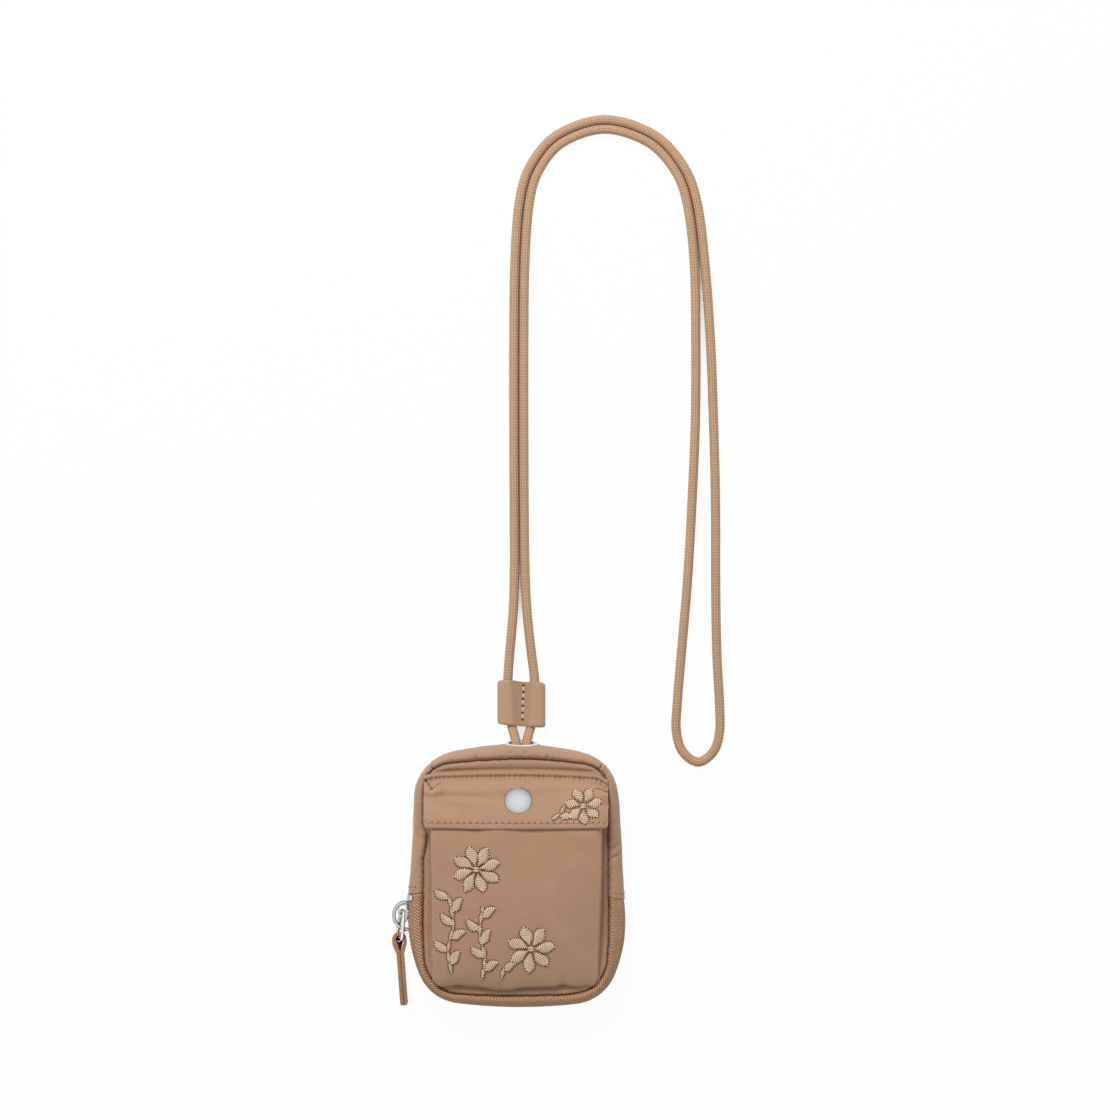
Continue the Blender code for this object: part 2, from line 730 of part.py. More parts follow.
def make_zip_coil(name, track, side, first, last):
    """One half of the chain: a rail sewn to its tape, with teeth that reach across the middle."""
    low = COIL_TOP - COIL_HEIGHT
    steps = 48
    stations = [first + (last - first) * i / steps for i in range(steps + 1)]
    loop = [track.offset(s, COIL_TOP) for s in stations]
    loop += [track.offset(s, low) for s in reversed(stations)]
    rail_inner = TAPE_SPLIT / 2
    edges = sorted((MID_Z + side * rail_inner, MID_Z + side * COIL_WIDTH / 2))
    rail = as_mesh(plate(name, [loop], *edges, cloth(name, ZIP_TAPE)))

    start = first + TOOTH_PITCH * (1.0 if side > 0 else 0.5)
    count = int((last - start) / TOOTH_PITCH)
    root = rail_inner + TOOTH_INSET
    tip = -rail_inner + SLIDER_CLEAR
    size = Matrix.Diagonal((TOOTH_WIDTH, root - tip, COIL_HEIGHT - 2 * TOOTH_INSET, 1.0))
    teeth = bmesh.new()
    for index in range(count):
        where = track.place(
            start + index * TOOTH_PITCH, COIL_TOP - COIL_HEIGHT / 2, MID_Z + side * (root + tip) / 2)
        bmesh.ops.create_cube(teeth, size=1.0, matrix=where @ size)
    mesh = bpy.data.meshes.new(name + "_teeth")
    teeth.to_mesh(mesh)
    teeth.free()
    tool = as_cutter(bpy.data.objects.new(name + "_teeth", mesh))
    CUTTERS.objects.link(tool)
    boolean(rail, tool, "UNION")


def make_zip_stops(track):
    low = COIL_TOP - COIL_HEIGHT
    stop = rectangle(STOP_LENGTH, STOP_WIDTH, STOP_CORNER)
    across = TAPE_SPLIT / 2 + STOP_WIDTH / 2 - STOP_OVERHANG
    for name, side in (("zip_top_stop_front", 1), ("zip_top_stop_back", -1)):
        place = track.place(CLEAR + STOP_LENGTH / 2, low, MID_Z + side * across)
        plate(name, [stop], 0.0, STOP_HEIGHT, metal(name), place=place)
    bar = rectangle(BOTTOM_STOP_LENGTH, COIL_WIDTH + 2 * BOTTOM_STOP_MARGIN, BOTTOM_STOP_CORNER)
    place = track.place(track.length - CLEAR - BOTTOM_STOP_LENGTH / 2, low, MID_Z)
    plate("zip_bottom_stop", [bar], 0.0, COIL_HEIGHT, metal("zip_bottom_stop"), place=place)


def make_zip():
    make_zip_tapes()
    track = Track()
    slider_at = ZIP_END_Y - SLIDER_Y
    first = slider_at - SLIDER_LENGTH / 2 + DIAMOND_LENGTH + 2 * CLEAR
    last = track.length - BOTTOM_STOP_LENGTH - 2 * CLEAR
    make_zip_coil("zip_coil_front", track, 1, first, last)
    make_zip_coil("zip_coil_back", track, -1, first, last)
    make_zip_stops(track)


# Slider, ring and pull: X runs along the track, Y through the depth and Z out of the pouch

def slider_plates(axis, place, finish):
    """The slider's two shield plates, the diamond between them and its two flanges."""
    front, tail = -SLIDER_LENGTH / 2, SLIDER_LENGTH / 2
    wide, narrow = SLIDER_FRONT_WIDTH / 2, SLIDER_TAIL_WIDTH / 2
    shield = rounded(mirror_outline([
        (front, wide - SLIDER_NOSE, SLIDER_CORNER),
        (front + SLIDER_SHOULDER, wide, SLIDER_CORNER),
        (SLIDER_WAIST, narrow, SLIDER_CORNER),
        (tail, narrow, SLIDER_CORNER),
    ]))
    diamond_front = front + DIAMOND_INSET
    wedge = rounded(mirror_outline([
        (diamond_front, DIAMOND_NOSE / 2, DIAMOND_NOSE / 6),
        (diamond_front + DIAMOND_SHOULDER, DIAMOND_WIDTH / 2, DIAMOND_WIDTH / 4),
        (front + DIAMOND_LENGTH, DIAMOND_TAIL / 2, DIAMOND_TAIL / 3),
    ]))
    pieces = [
        plate("slider_roof", [shield], SLIDER_ROOF, SLIDER_TOP, finish, axis, place),
        plate("slider_floor", [shield], SLIDER_FLOOR - SLIDER_PLATE, SLIDER_FLOOR, finish, axis, place),
        plate("slider_diamond", [wedge], SLIDER_FLOOR - JOIN, SLIDER_ROOF + JOIN, finish, axis, place),
    ]
    flange_length = tail - FLANGE_END_MARGIN - FLANGE_START
    wall = rectangle(flange_length, FLANGE_WALL, 0)
    flange_low = SLIDER_CLEAR - COIL_SEAT
    for name, side in (("slider_flange_front", 1), ("slider_flange_back", -1)):
        across = side * (narrow - FLANGE_WALL / 2 - MERGE)
        beside = place @ shift(FLANGE_START + flange_length / 2, across, 0.0)
        pieces.append(plate(name, [wall], flange_low, SLIDER_ROOF + JOIN, finish, axis, beside))
    return pieces


def make_slider(axis, place):
    finish = metal("slider_body")
    pieces = slider_plates(axis, place, finish)
    front = BRIDGE_FRONT_MARGIN - SLIDER_LENGTH / 2
    tail = SLIDER_LENGTH / 2 - BRIDGE_TAIL_MARGIN
    foot, inside = SLIDER_TOP - JOIN, SLIDER_TOP + BRIDGE_OPENING
    outside, outer_bend = inside + BRIDGE_BAR, BRIDGE_BEND + BRIDGE_BAR
    staple = rounded([
        (front, foot, 0),
        (front, outside, outer_bend),
        (tail, outside, outer_bend),
        (tail, foot, 0),
        (tail - BRIDGE_BAR, foot, 0),
        (tail - BRIDGE_BAR, inside, BRIDGE_BEND),
        (front + BRIDGE_BAR, inside, BRIDGE_BEND),
        (front + BRIDGE_BAR, foot, 0),
    ])
    upright = place @ Matrix.Rotation(math.pi / 2, 4, "X")
    half = BRIDGE_WIDTH / 2
    pieces.append(plate("slider_bridge", [staple], -half, half, finish, axis, upright))
    joined("slider_body", pieces)
    return Vector(((front + tail) / 2, 0.0, SLIDER_TOP + BRIDGE_OPENING / 2))


def make_ring(axis):
    """The wire ring hangs from the slider's bridge, leaning out and a little twisted."""
    top, bottom = RING_TOP_WIDTH / 2, RING_BOTTOM_WIDTH / 2
    loop = rounded([
        (0.0, -top, RING_BEND), (0.0, top, RING_BEND),
        (RING_LENGTH, bottom, RING_BEND), (RING_LENGTH, -bottom, RING_BEND),
    ])
    hang = Matrix.Rotation(-RING_LEAN, 4, "Y") @ Matrix.Rotation(-RING_TWIST, 4, "X")
    points = [hang @ Vector((point.x, point.y, 0.0)) for point in loop]
    tube("slider_ring", points, RING_WIRE, 2, True, metal("slider_ring"), axis)
    return hang @ Vector((RING_LENGTH, 0.0, 0.0))


def make_pull(axis):
    """A leather strip folded round the ring: seen from the front, an eye above two layers."""
    eye = PULL_EYE / 2
    outer = eye + PULL_EYE_WALL
    half = PULL_LEATHER + PULL_SLIT / 2
    outline = rounded([
        (-outer, -outer, 0.9 * outer),
        (-outer, outer, 0.9 * outer),
        (0.7 * outer, outer, 0.6 * outer),
        (PULL_EYE_LENGTH, half, PULL_NECK_BEND),
        (PULL_LENGTH, half, PULL_END_CORNER),
        (PULL_LENGTH, -half, PULL_END_CORNER),
        (PULL_EYE_LENGTH, -half, PULL_NECK_BEND),
        (0.7 * outer, -outer, 0.6 * outer),
    ])
    hole = rounded([
        (-eye, -eye, 0.9 * eye),
        (-eye, eye, 0.9 * eye),
        (0.6 * eye, eye, 0.6 * eye),
        (PULL_EYE_LENGTH - PULL_END_CORNER, 0.0, PULL_SLIT),
        (0.6 * eye, -eye, 0.6 * eye),
    ])
    hang = Matrix.Rotation(math.pi / 2, 4, "X") @ Matrix.Rotation(PULL_LEAN, 4, "Z")
    half_width = PULL_WIDTH / 2
    plate("pull_tab", [outline, hole], -half_width, half_width, leather("pull_tab"), axis, hang)


def make_slider_group():
    """The slider runs on the curved side, so it turns about the middle of that arc."""
    centre = Vector((SIDE_RADIUS - BODY_WIDTH / 2, WIDEST_Y))
    angle = math.pi - math.asin((SLIDER_Y - WIDEST_Y) / SIDE_RADIUS)
    axis = add_axis("slider_axis", shift(centre.x, centre.y, MID_Z) @ Matrix.Rotation(angle, 4, "Z"))
    along_up_out = Matrix(((0, 0, 1), (1, 0, 0), (0, 1, 0))).to_4x4()
    place = shift(SIDE_RADIUS, 0.0, 0.0) @ along_up_out
    ring_at = make_slider(axis, place)
    ring_axis = add_axis("ring_axis", place @ shift(*ring_at), axis)
    pull_at = make_ring(ring_axis)
    pull_axis = add_axis("pull_axis", shift(*pull_at), ring_axis)
    make_pull(pull_axis)


# Front pocket

def pocket_reach(y):
    """Half the pocket's width at a height up the pouch, less in its rounded lower corners."""
    top_half = SEAM_HALF_WIDTH - POCKET_SIDE_MARGIN
    taper = POCKET_TAPER * (POCKET_TOP_Y - y) / (POCKET_TOP_Y - POCKET_BOTTOM_Y)
    into_corner = max(0.0, POCKET_BOTTOM_Y + POCKET_CORNER - y)
    return top_half - taper - POCKET_CORNER + math.sqrt(max(0.0, POCKET_CORNER ** 2 - into_corner ** 2))


def pocket_levels(top, steps):
    """Places up the pocket, from its bottom edge through its round corners to a top."""
    corner_top = POCKET_BOTTOM_Y + POCKET_CORNER
    turns = [math.pi / 2 * step / CORNER_STEPS for step in range(CORNER_STEPS)]
    corner = [corner_top - POCKET_CORNER * math.cos(turn) for turn in turns]
    return corner + [corner_top + (top - corner_top) * step / steps for step in range(steps + 1)]


def make_pocket():
    rows = []
    for y in pocket_levels(POCKET_TOP_Y, POCKET_STEPS):
        reach = pocket_reach(y)
        stations = [-1.0, -0.5, 0.0, 0.5, 1.0]
        rows.append([(reach * share, y, pocket_height(y)) for share in stations])
    panel = loft("pocket_panel", rows, POCKET_CLOTH, cloth("pocket_panel"))
    hole = hole_cutter("pocket_hole", SHANK_DIAMETER / 2 + CLEAR, 10 * POCKET_CLOTH, SNAP_PLACE)
    boolean(panel, hole, "DIFFERENCE")

    levels = pocket_levels(POCKET_TOP_Y - BELLOWS_DROP, BELLOWS_STEPS)
    right = [Vector((pocket_reach(y), y)) for y in levels]
    outline = mirrored(right)[::-1] + right
    low = FRONT_Z + SHEET_GAP + POCKET_CLOTH
    rows = []
    for share in (0.0, 0.25, 0.5, 0.75, 1.0):
        row = []
        for point in outline:
            height = pocket_height(point.y) - 2 * POCKET_CLOTH - 2 * SHEET_GAP - low
            fold = min(POCKET_PLEAT, PLEAT_SHARE * height) * (1.0 - abs(2.0 * share - 1.0))
            centre = Vector((0.0, max(point.y, POCKET_BOTTOM_Y + POCKET_CORNER)))
            folded = point + (centre - point).normalized() * fold
            row.append((folded.x, folded.y, low + height * share))
        rows.append(row)
    loft("pocket_bellows", rows, POCKET_CLOTH, cloth("pocket_bellows"))


# Flap and snap

def along_slope(y, height):
    """How far up the snap's slope a place on it lies, at a height over the pocket panel."""
    return (y - SNAP_CENTRE.y - height * math.sin(SNAP_TILT)) / math.cos(SNAP_TILT)


def flap_profile():
    """Points (y, z) of the flap's outer face: up from its seam, then straight along the slope to its hem."""
    over = FLAP_Z + FLAP_CLOTH
    knee = FLAP_HEM_Y + FLAP_CORNER
    crest = FLAP_SEAM_Y - FLAP_ROOF
    levels = [crest + (knee - crest) * step / 3 for step in (0, 1, 2, 3)]
    levels += [knee - FLAP_CORNER * math.sin(math.pi / 2 * step / 4) for step in (1, 2, 3, 4)]
    face = []
    for y in levels:
        point = SNAP_PLACE @ Vector((0.0, along_slope(y, over), over))
        face.append((point.y, point.z))
    seam_z, crest_z = FRONT_Z + SHEET_GAP + FLAP_CLOTH, face[0][1]
    end_rise = FLAP_ROOF * math.tan(SNAP_TILT)
    roof = []
    for step in range(10):
        share = step / 10
        rise = (crest_z - seam_z) * (3 - 2 * share) * share ** 2 + end_rise * (share - 1) * share ** 2
        roof.append((FLAP_SEAM_Y - FLAP_ROOF * share, seam_z + rise))
    return roof + face


def make_flap(axis):
    hinge = FLAP_HINGE
    half = SEAM_HALF_WIDTH - FLAP_SIDE_MARGIN
    knee = FLAP_HEM_Y + FLAP_CORNER
    rows = []
    for y, z in flap_profile():
        into_corner = max(0.0, knee - y)
        reach = half - FLAP_CORNER + math.sqrt(max(0.0, FLAP_CORNER ** 2 - into_corner ** 2))
        stations = [-1.0, -0.75, -0.5, -0.25, 0.0, 0.25, 0.5, 0.75, 1.0]
        rows.append([(reach * share, y - hinge.y, z - hinge.z) for share in stations])
    outer = loft("flap_outer", rows[::-1], FLAP_CLOTH, cloth("flap_outer"), axis)
    hole_radius = CAP_POST / 2 + CLEAR
    hole = hole_cutter("flap_hole", hole_radius, 10 * FLAP_CLOTH, SNAP_PLACE @ shift(0.0, 0.0, FLAP_Z))
    boolean(outer, hole, "DIFFERENCE")

    crest = along_slope(FLAP_SEAM_Y - FLAP_ROOF, FLAP_Z)
    hem = along_slope(FLAP_HEM_Y, FLAP_Z) + FACING_MARGIN
    left = FACING_MARGIN - half - SNAP_OFFSET
    right = half - FACING_MARGIN - SNAP_OFFSET
    facing = rounded([
        (left, crest, 0), (right, crest, 0), (right, hem, FLAP_CORNER), (left, hem, FLAP_CORNER),
    ])
    plate("flap_facing", [facing, circle(hole_radius, 0.0, 0.0)], FACING_Z, FACING_Z + FLAP_FACING,
          cloth("flap_facing", LINING), axis, shift(*-hinge) @ SNAP_PLACE)


def make_snap(flap_axis):
    on_flap = shift(*-FLAP_HINGE) @ SNAP_PLACE
    rim = CAP_DIAMETER / 2
    dome_radius = (rim ** 2 + CAP_DOME ** 2) / (2 * CAP_DOME)
    dome_angle = math.asin(rim / dome_radius)
    dome = []
    for step in range(8):
        turn = dome_angle * step / 7
        height = CAP_Z + CAP_RIM + CAP_DOME - dome_radius * (1 - math.cos(turn))
        dome.append((dome_radius * math.sin(turn), height))
    post = CAP_POST / 2
    post_end = SOCKET_Z + SOCKET_HEIGHT - STUD_BASE_THICKNESS
    cap = dome + [(rim - CAP_UNDERCUT, CAP_Z), (post, CAP_Z), (post, post_end), (0.0, post_end)]
    turned("snap_cap", cap, metal("snap_cap"), False, flap_axis, on_flap)

    socket, stud = SOCKET_DIAMETER / 2, STUD_DIAMETER / 2
    top, mouth = SOCKET_Z + SOCKET_HEIGHT, stud + CLEAR
    hollow, inner_top = mouth + SOCKET_WALL, top - SOCKET_WEB
    ring = [
        (post + CLEAR, top), (socket - SOCKET_WALL, top), (socket, top - SOCKET_WALL),
        (socket, SOCKET_Z + SOCKET_WALL), (socket - SOCKET_WALL, SOCKET_Z), (hollow, SOCKET_Z),
        (mouth, SOCKET_Z + SOCKET_LIP), (hollow, SOCKET_Z + SOCKET_LIP + SOCKET_WALL),
        (hollow, inner_top), (post + CLEAR, inner_top),
    ]
    turned("snap_socket", ring, metal("snap_socket"), True, flap_axis, on_flap)

    base, bore = STUD_BASE / 2, SHANK_DIAMETER / 2 + CLEAR
    base_top = STUD_Z + STUD_BASE_THICKNESS
    head_top = post_end - CLEAR
    head = [
        (bore, head_top), (stud - STUD_HEAD / 2, head_top), (stud, head_top - STUD_HEAD / 2),
        (stud, head_top - STUD_HEAD), (stud - STUD_WAIST, base_top), (base - STUD_EDGE, base_top),
        (base, base_top - STUD_EDGE), (base, STUD_Z), (bore, STUD_Z),
    ]
    turned("snap_stud", head, metal("snap_stud"), True, None, SNAP_PLACE)

    flange, shank = POST_FLANGE / 2, SHANK_DIAMETER / 2
    flange_top = -POCKET_CLOTH - SHEET_GAP
    flange_low = flange_top - POST_FLANGE_THICKNESS
    rivet = [
        (0.0, head_top - CLEAR), (shank, head_top - CLEAR), (shank, flange_top), (flange, flange_top),
        (flange - STUD_EDGE, flange_low), (0.0, flange_low),
    ]
    turned("snap_post", rivet, metal("snap_post"), False, None, SNAP_PLACE)


# Eyelet, knot, cord and keeper

def make_eyelet():
    bore, flange = EYELET_BORE / 2, EYELET_FLANGE / 2
    barrel = bore + EYELET_WALL
    seat, top = CLEAR, CLEAR + EYELET_FLANGE_HEIGHT
    edge = EYELET_FLANGE_HEIGHT / 3
    reach = flange + abs(EYELET_X)
    washer_top = -GUSSET_THICKNESS - CLEAR - reach ** 2 / (2 * TOP_RADIUS)
    washer_low = washer_top - WASHER_THICKNESS
    lip = washer_low - CLEAR
    ring = [
        (bore, top - edge), (bore + EYELET_CROWN / 2, top - edge / 3), (bore + EYELET_CROWN, top),
        (flange - edge, top - edge), (flange, seat + edge), (flange, seat),
        (barrel, seat), (barrel, lip), (barrel + EYELET_CURL, lip - EYELET_CURL / 2),
        (barrel + EYELET_CURL, lip - EYELET_CURL), (bore, lip - EYELET_CURL),
    ]
    turned("eyelet", ring, metal("eyelet"), True, None, EYELET_PLACE)
    inner, outer = barrel + CLEAR, flange - WASHER_MARGIN
    washer = [(inner, washer_top), (outer, washer_top), (outer, washer_low), (inner, washer_low)]
    turned("eyelet_washer", washer, metal("eyelet_washer"), True, None, EYELET_PLACE)


def make_knot():
    """A barrel knot of cord wraps, too fat to pass the eyelet, as thick as the pouch has room for."""
    wrap = CORD_DIAMETER / 2
    waist = KNOT_DIAMETER / 2 - wrap
    front = CORD_RUN[0][1] * MM - KNOT_GAP
    profile = [(0.0, front)]
    for turn in range(KNOT_WRAPS):
        middle = front - wrap - turn * CORD_DIAMETER
        for step in range(5):
            angle = math.pi / 2 - math.pi * step / 5
            profile.append((waist + wrap * math.cos(angle), middle + wrap * math.sin(angle)))
    back = front - KNOT_WRAPS * CORD_DIAMETER
    profile += [(waist, back), (0.0, back)]
    room = BODY_DEPTH - 2 * (PANEL_THICKNESS + CLEAR + LINING_THICKNESS + KNOT_ROOM)
    flattened = Matrix.Diagonal((1.0, room / KNOT_DIAMETER, 1.0, 1.0))
    turned("cord_knot", profile, cloth("cord_knot", BRAID), False, None, EYELET_PLACE @ flattened)


def cord_route():
    """The route's own points: out along one strand, round the far loop and back along the other."""
    corner = Vector((EYELET_X, BODY_TOP_Y, 0.0))
    middles = [Vector((x, y, z)) * MM + corner for x, y, z, _ in CORD_RUN]
    outgoing, returning = [], []
    for index, (middle, row) in enumerate(zip(middles, CORD_RUN)):
        ahead = middles[min(index + 1, len(middles) - 1)] - middles[max(index - 1, 0)]
        left = Vector((-ahead.y, ahead.x, 0.0)).normalized() * row[3] * MM
        outgoing.append(middle + left)
        returning.append(middle - left)
    loop_end = [Vector(point) * MM + corner for point in CORD_LOOP_END]
    return outgoing + loop_end + returning[::-1]


def smooth(points, share):
    """A point on the smooth curve through four route points, between the middle two."""
    before, start, end, after = points
    square, cube = share ** 2, share ** 3
    return 0.5 * (
        2 * start + (end - before) * share + (2 * before - 5 * start + 4 * end - after) * square
        + (3 * start - before - 3 * end + after) * cube
    )


def cord_points():
    """Points read from the smooth route, closer together where it bends."""
    route = cord_route()
    ends = [2 * route[0] - route[1]] + route + [2 * route[-1] - route[-2]]
    steps = 24
    fine = []
    for index in range(len(route) - 1):
        fine += [smooth(ends[index:index + 4], step / steps) for step in range(steps)]
    fine.append(route[-1])
    chosen, spent = [fine[0]], 0.0
    for before, here, after in zip(fine, fine[1:], fine[2:]):
        turn = (here - before).angle(after - here)
        spent += (here - before).length / CORD_POINT_RUN + turn / CORD_POINT_TURN
        if spent >= 1.0:
            chosen.append(here)
            spent = 0.0
    return chosen + [fine[-1]]


def make_keeper():
    """A leather sleeve stitched down the middle, with a flat tunnel for each strand."""
    tunnel = KEEPER_TUNNEL_HEIGHT / 2
    wall = tunnel + KEEPER_LEATHER
    near = (KEEPER_TUNNEL_SPACING - KEEPER_TUNNEL_FLAT) / 2
    far = near + KEEPER_TUNNEL_FLAT
    valley = []
    for step in range(1, 9):
        across = 1 - step / 4
        dip = KEEPER_VALLEY * (0.5 + 0.5 * math.cos(math.pi * across))
        valley.append(Vector((near * across, wall - dip)))
    right = arc(Vector((far, 0.0)), wall, -math.pi / 2, math.pi / 2, 12)
    upper = right + [Vector((far, wall)), Vector((near, wall))] + valley
    outline = upper + [Vector((-point.x, -point.y)) for point in upper]
    holes = []
    for side in (1, -1):
        hole = arc(Vector((far, 0.0)), tunnel, math.pi / 2, -math.pi / 2, 10)
        hole += arc(Vector((near, 0.0)), tunnel, -math.pi / 2, -3 * math.pi / 2, 10)
        holes.append([Vector((side * point.x, point.y)) for point in hole])
    middle_y = BODY_TOP_Y + KEEPER_START + KEEPER_LENGTH / 2
    axis = add_axis("keeper_axis", shift(EYELET_X, middle_y, wall))
    stand = Matrix.Rotation(KEEPER_TURN, 4, "Z") @ Matrix.Rotation(math.pi / 2, 4, "X")
    plate("cord_keeper", [outline] + holes, -KEEPER_LENGTH / 2, KEEPER_LENGTH / 2,
          leather("cord_keeper"), axis, stand)


def make_cord():
    tube("cord", cord_points(), CORD_DIAMETER, CORD_SIDES_RESOLUTION, False, cloth("cord", BRAID))
    make_knot()
    make_keeper()


clear_scene()
PARTS = collection("neck_pouch_wallet")
CUTTERS = collection("cutters")
make_panels()
make_gusset()
make_zip()
make_slider_group()
make_pocket()
FLAP_AXIS = add_axis("flap_axis", shift(*FLAP_HINGE))
make_flap(FLAP_AXIS)
make_snap(FLAP_AXIS)
make_eyelet()
make_cord()
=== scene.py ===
# %% [markdown]
# # A neck pouch wallet, dressed for its portrait
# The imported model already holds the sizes, the bodies and the joints of a small zipped pouch on a long
# round cord. This lesson dresses it: each stiff solid is given its cloth, leather, cord or metal.
# The frame comes first because every piece is placed from it, in metres.

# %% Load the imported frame
import json
import math

import bmesh
import bpy
import numpy as np
from mathutils import Matrix, Vector, geometry, noise
from mathutils.bvhtree import BVHTree


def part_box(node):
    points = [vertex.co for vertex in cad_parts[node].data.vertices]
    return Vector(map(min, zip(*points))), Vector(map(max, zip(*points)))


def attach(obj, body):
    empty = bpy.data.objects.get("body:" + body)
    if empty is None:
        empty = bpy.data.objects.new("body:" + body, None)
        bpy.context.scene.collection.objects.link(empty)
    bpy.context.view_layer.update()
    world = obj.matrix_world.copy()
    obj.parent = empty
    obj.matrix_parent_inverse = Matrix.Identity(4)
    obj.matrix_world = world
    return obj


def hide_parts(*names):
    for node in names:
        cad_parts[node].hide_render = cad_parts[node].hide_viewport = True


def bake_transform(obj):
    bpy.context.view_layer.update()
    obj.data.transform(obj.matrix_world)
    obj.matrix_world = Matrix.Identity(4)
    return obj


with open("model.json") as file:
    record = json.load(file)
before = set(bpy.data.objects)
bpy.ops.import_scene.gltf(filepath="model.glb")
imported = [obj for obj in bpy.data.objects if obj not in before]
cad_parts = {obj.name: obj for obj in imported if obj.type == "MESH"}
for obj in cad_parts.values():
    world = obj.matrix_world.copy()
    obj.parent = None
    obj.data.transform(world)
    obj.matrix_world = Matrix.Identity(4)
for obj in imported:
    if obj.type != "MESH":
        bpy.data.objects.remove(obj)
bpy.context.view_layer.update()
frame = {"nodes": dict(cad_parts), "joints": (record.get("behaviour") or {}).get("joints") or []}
NODES = frame["nodes"]
MM = 0.001
TAU = 2 * math.pi
scene = bpy.context.scene

# %% [markdown]
# ## Camera, light and floor
# The photograph looks straight down on a pouch laid on white. A long lens from well above keeps the
# sides from leaning. One wide soft light stands beyond the top edge and the sky fills the rest, so that
# folds are lighter on top and darker below. Only what the camera and mirrors see of the floor is lifted
# to white, which leaves the light on the cloth plain. Ambient occlusion paints shade into the floor's
# colour, so a narrow crevice under the cloth stays dark.

# %% Camera and window light
PIXEL = 0.46 * MM
PHOTO_SIDE = 1120
LOOK_AT = Vector((20.24, 145.13, 0.0)) * MM
CAMERA_HEIGHT = 2.6
READ_LEVEL = 15 * MM
SENSOR = 36.0
WINDOW_PLACE = Vector((-0.3, 1.15, 1.15))
WINDOW_SIZE = 0.8
WINDOW_POWER = 19.0
camera_data = bpy.data.cameras.new("photo_camera")
camera_data.sensor_width = SENSOR
camera_data.lens = SENSOR * (CAMERA_HEIGHT - READ_LEVEL) / (PHOTO_SIDE * PIXEL)
camera = bpy.data.objects.new("photo_camera", camera_data)
scene.collection.objects.link(camera)
camera.location = (LOOK_AT.x, LOOK_AT.y, CAMERA_HEIGHT)
scene.camera = camera
scene.view_settings.view_transform = "Standard"
window_data = bpy.data.lights.new("window", "AREA")
window_data.shape = "DISK"
window_data.size = WINDOW_SIZE
window_data.energy = WINDOW_POWER
window = bpy.data.objects.new("window", window_data)
scene.collection.objects.link(window)
window.visible_glossy = False
window.location = WINDOW_PLACE
window.rotation_euler = (-WINDOW_PLACE).to_track_quat("-Z", "Y").to_euler()
print("lens", round(camera_data.lens, 1), "mm")

# %% Sky and paper floor
WHITE = (1.0, 1.0, 1.0, 1.0)
SKY_LIGHT = 0.44
FLOOR_HALF = 3.0
FLOOR_DROP = 0.1 * MM
FLOOR_SHADE = 0.05
PAPER_WHITE = 0.9
CREVICE_REACH = 6 * MM
CREVICE_DARK = 0.17
CREVICE_OPEN = 0.32


class Net:
    """A short way to lay nodes into a tree and link them."""

    def __init__(self, tree):
        self.tree = tree

    def put(self, value, socket):
        if isinstance(value, bpy.types.NodeSocket):
            self.tree.links.new(value, socket)
        else:
            socket.default_value = value

    def add(self, kind, values=None, **settings):
        made = self.tree.nodes.new(kind)
        for name, value in settings.items():
            setattr(made, name, value)
        for name, value in (values or {}).items():
            self.put(value, made.inputs[name])
        return made

    def maths(self, operation, *values):
        made = self.add("ShaderNodeMath", operation=operation)
        for socket, value in zip(made.inputs, values):
            self.put(value, socket)
        return made.outputs[0]


def emptied(holder):
    """The node tree of a world or a material with nothing left in it."""
    holder.use_nodes = True
    holder.node_tree.nodes.clear()
    return Net(holder.node_tree)


def seen_directly(net):
    """1 for what the camera sees, itself or in a mirror, and 0 for light that only bounces."""
    seen = net.add("ShaderNodeLightPath").outputs
    direct = net.maths("MAXIMUM", seen["Is Camera Ray"], seen["Is Glossy Ray"])
    return net.maths("MAXIMUM", direct, seen["Is Transmission Ray"])


world = bpy.data.worlds.new("studio")
scene.world = world
sky = emptied(world)
fill = sky.add("ShaderNodeBackground", {"Color": WHITE, "Strength": SKY_LIGHT})
bright = sky.add("ShaderNodeBackground", {"Color": WHITE, "Strength": 1.0})
chosen = sky.add("ShaderNodeMixShader", {0: seen_directly(sky), 1: fill.outputs[0], 2: bright.outputs[0]})
sky.add("ShaderNodeOutputWorld", {"Surface": chosen.outputs[0]})

floor_mesh = bpy.data.meshes.new("floor")
floor_corners = [(x * FLOOR_HALF, y * FLOOR_HALF, 0.0) for x, y in ((-1, -1), (1, -1), (1, 1), (-1, 1))]
floor_mesh.from_pydata(floor_corners, [], [(0, 1, 2, 3)])
floor = bpy.data.objects.new("floor", floor_mesh)
scene.collection.objects.link(floor)
floor.location = (0.0, 0.0, -FLOOR_DROP)
floor_finish = bpy.data.materials.new("white_paper")
paper = emptied(floor_finish)
glow = paper.add("ShaderNodeEmission", {"Color": WHITE, "Strength": 1.0})
# Painted shade: ambient occlusion darkens the floor's colour and cuts its glow in narrow crevices.
open_sky = paper.add("ShaderNodeAmbientOcclusion", {"Distance": CREVICE_REACH}, samples=8).outputs["AO"]
bare = paper.add("ShaderNodeMapRange", {0: open_sky, 1: CREVICE_DARK, 2: CREVICE_OPEN},
                 interpolation_type="SMOOTHSTEP").outputs[0]
matt = paper.add("ShaderNodeBsdfDiffuse", {"Color": paper.maths("MULTIPLY", bare, PAPER_WHITE)})
lifted = paper.maths("MULTIPLY", seen_directly(paper), paper.maths("MULTIPLY", bare, 1.0 - FLOOR_SHADE))
mixed = paper.add("ShaderNodeMixShader", {0: lifted, 1: matt.outputs[0], 2: glow.outputs[0]})
paper.add("ShaderNodeOutputMaterial", {"Surface": mixed.outputs[0]})
floor_mesh.materials.append(floor_finish)
print("floor", 2 * FLOOR_HALF, "m wide")

# %% [markdown]
# ## Shared effects of the finishes
# Cloth, leather, cord and metal all need the same few effects: threads that cross, ribs in a
# herringbone, grain, and a tone that drifts from place to place. Each effect is one node group with
# named sockets, so that a material only chooses its own sizes. Groups give out plain numbers and
# colours; the shader itself stays in the material.

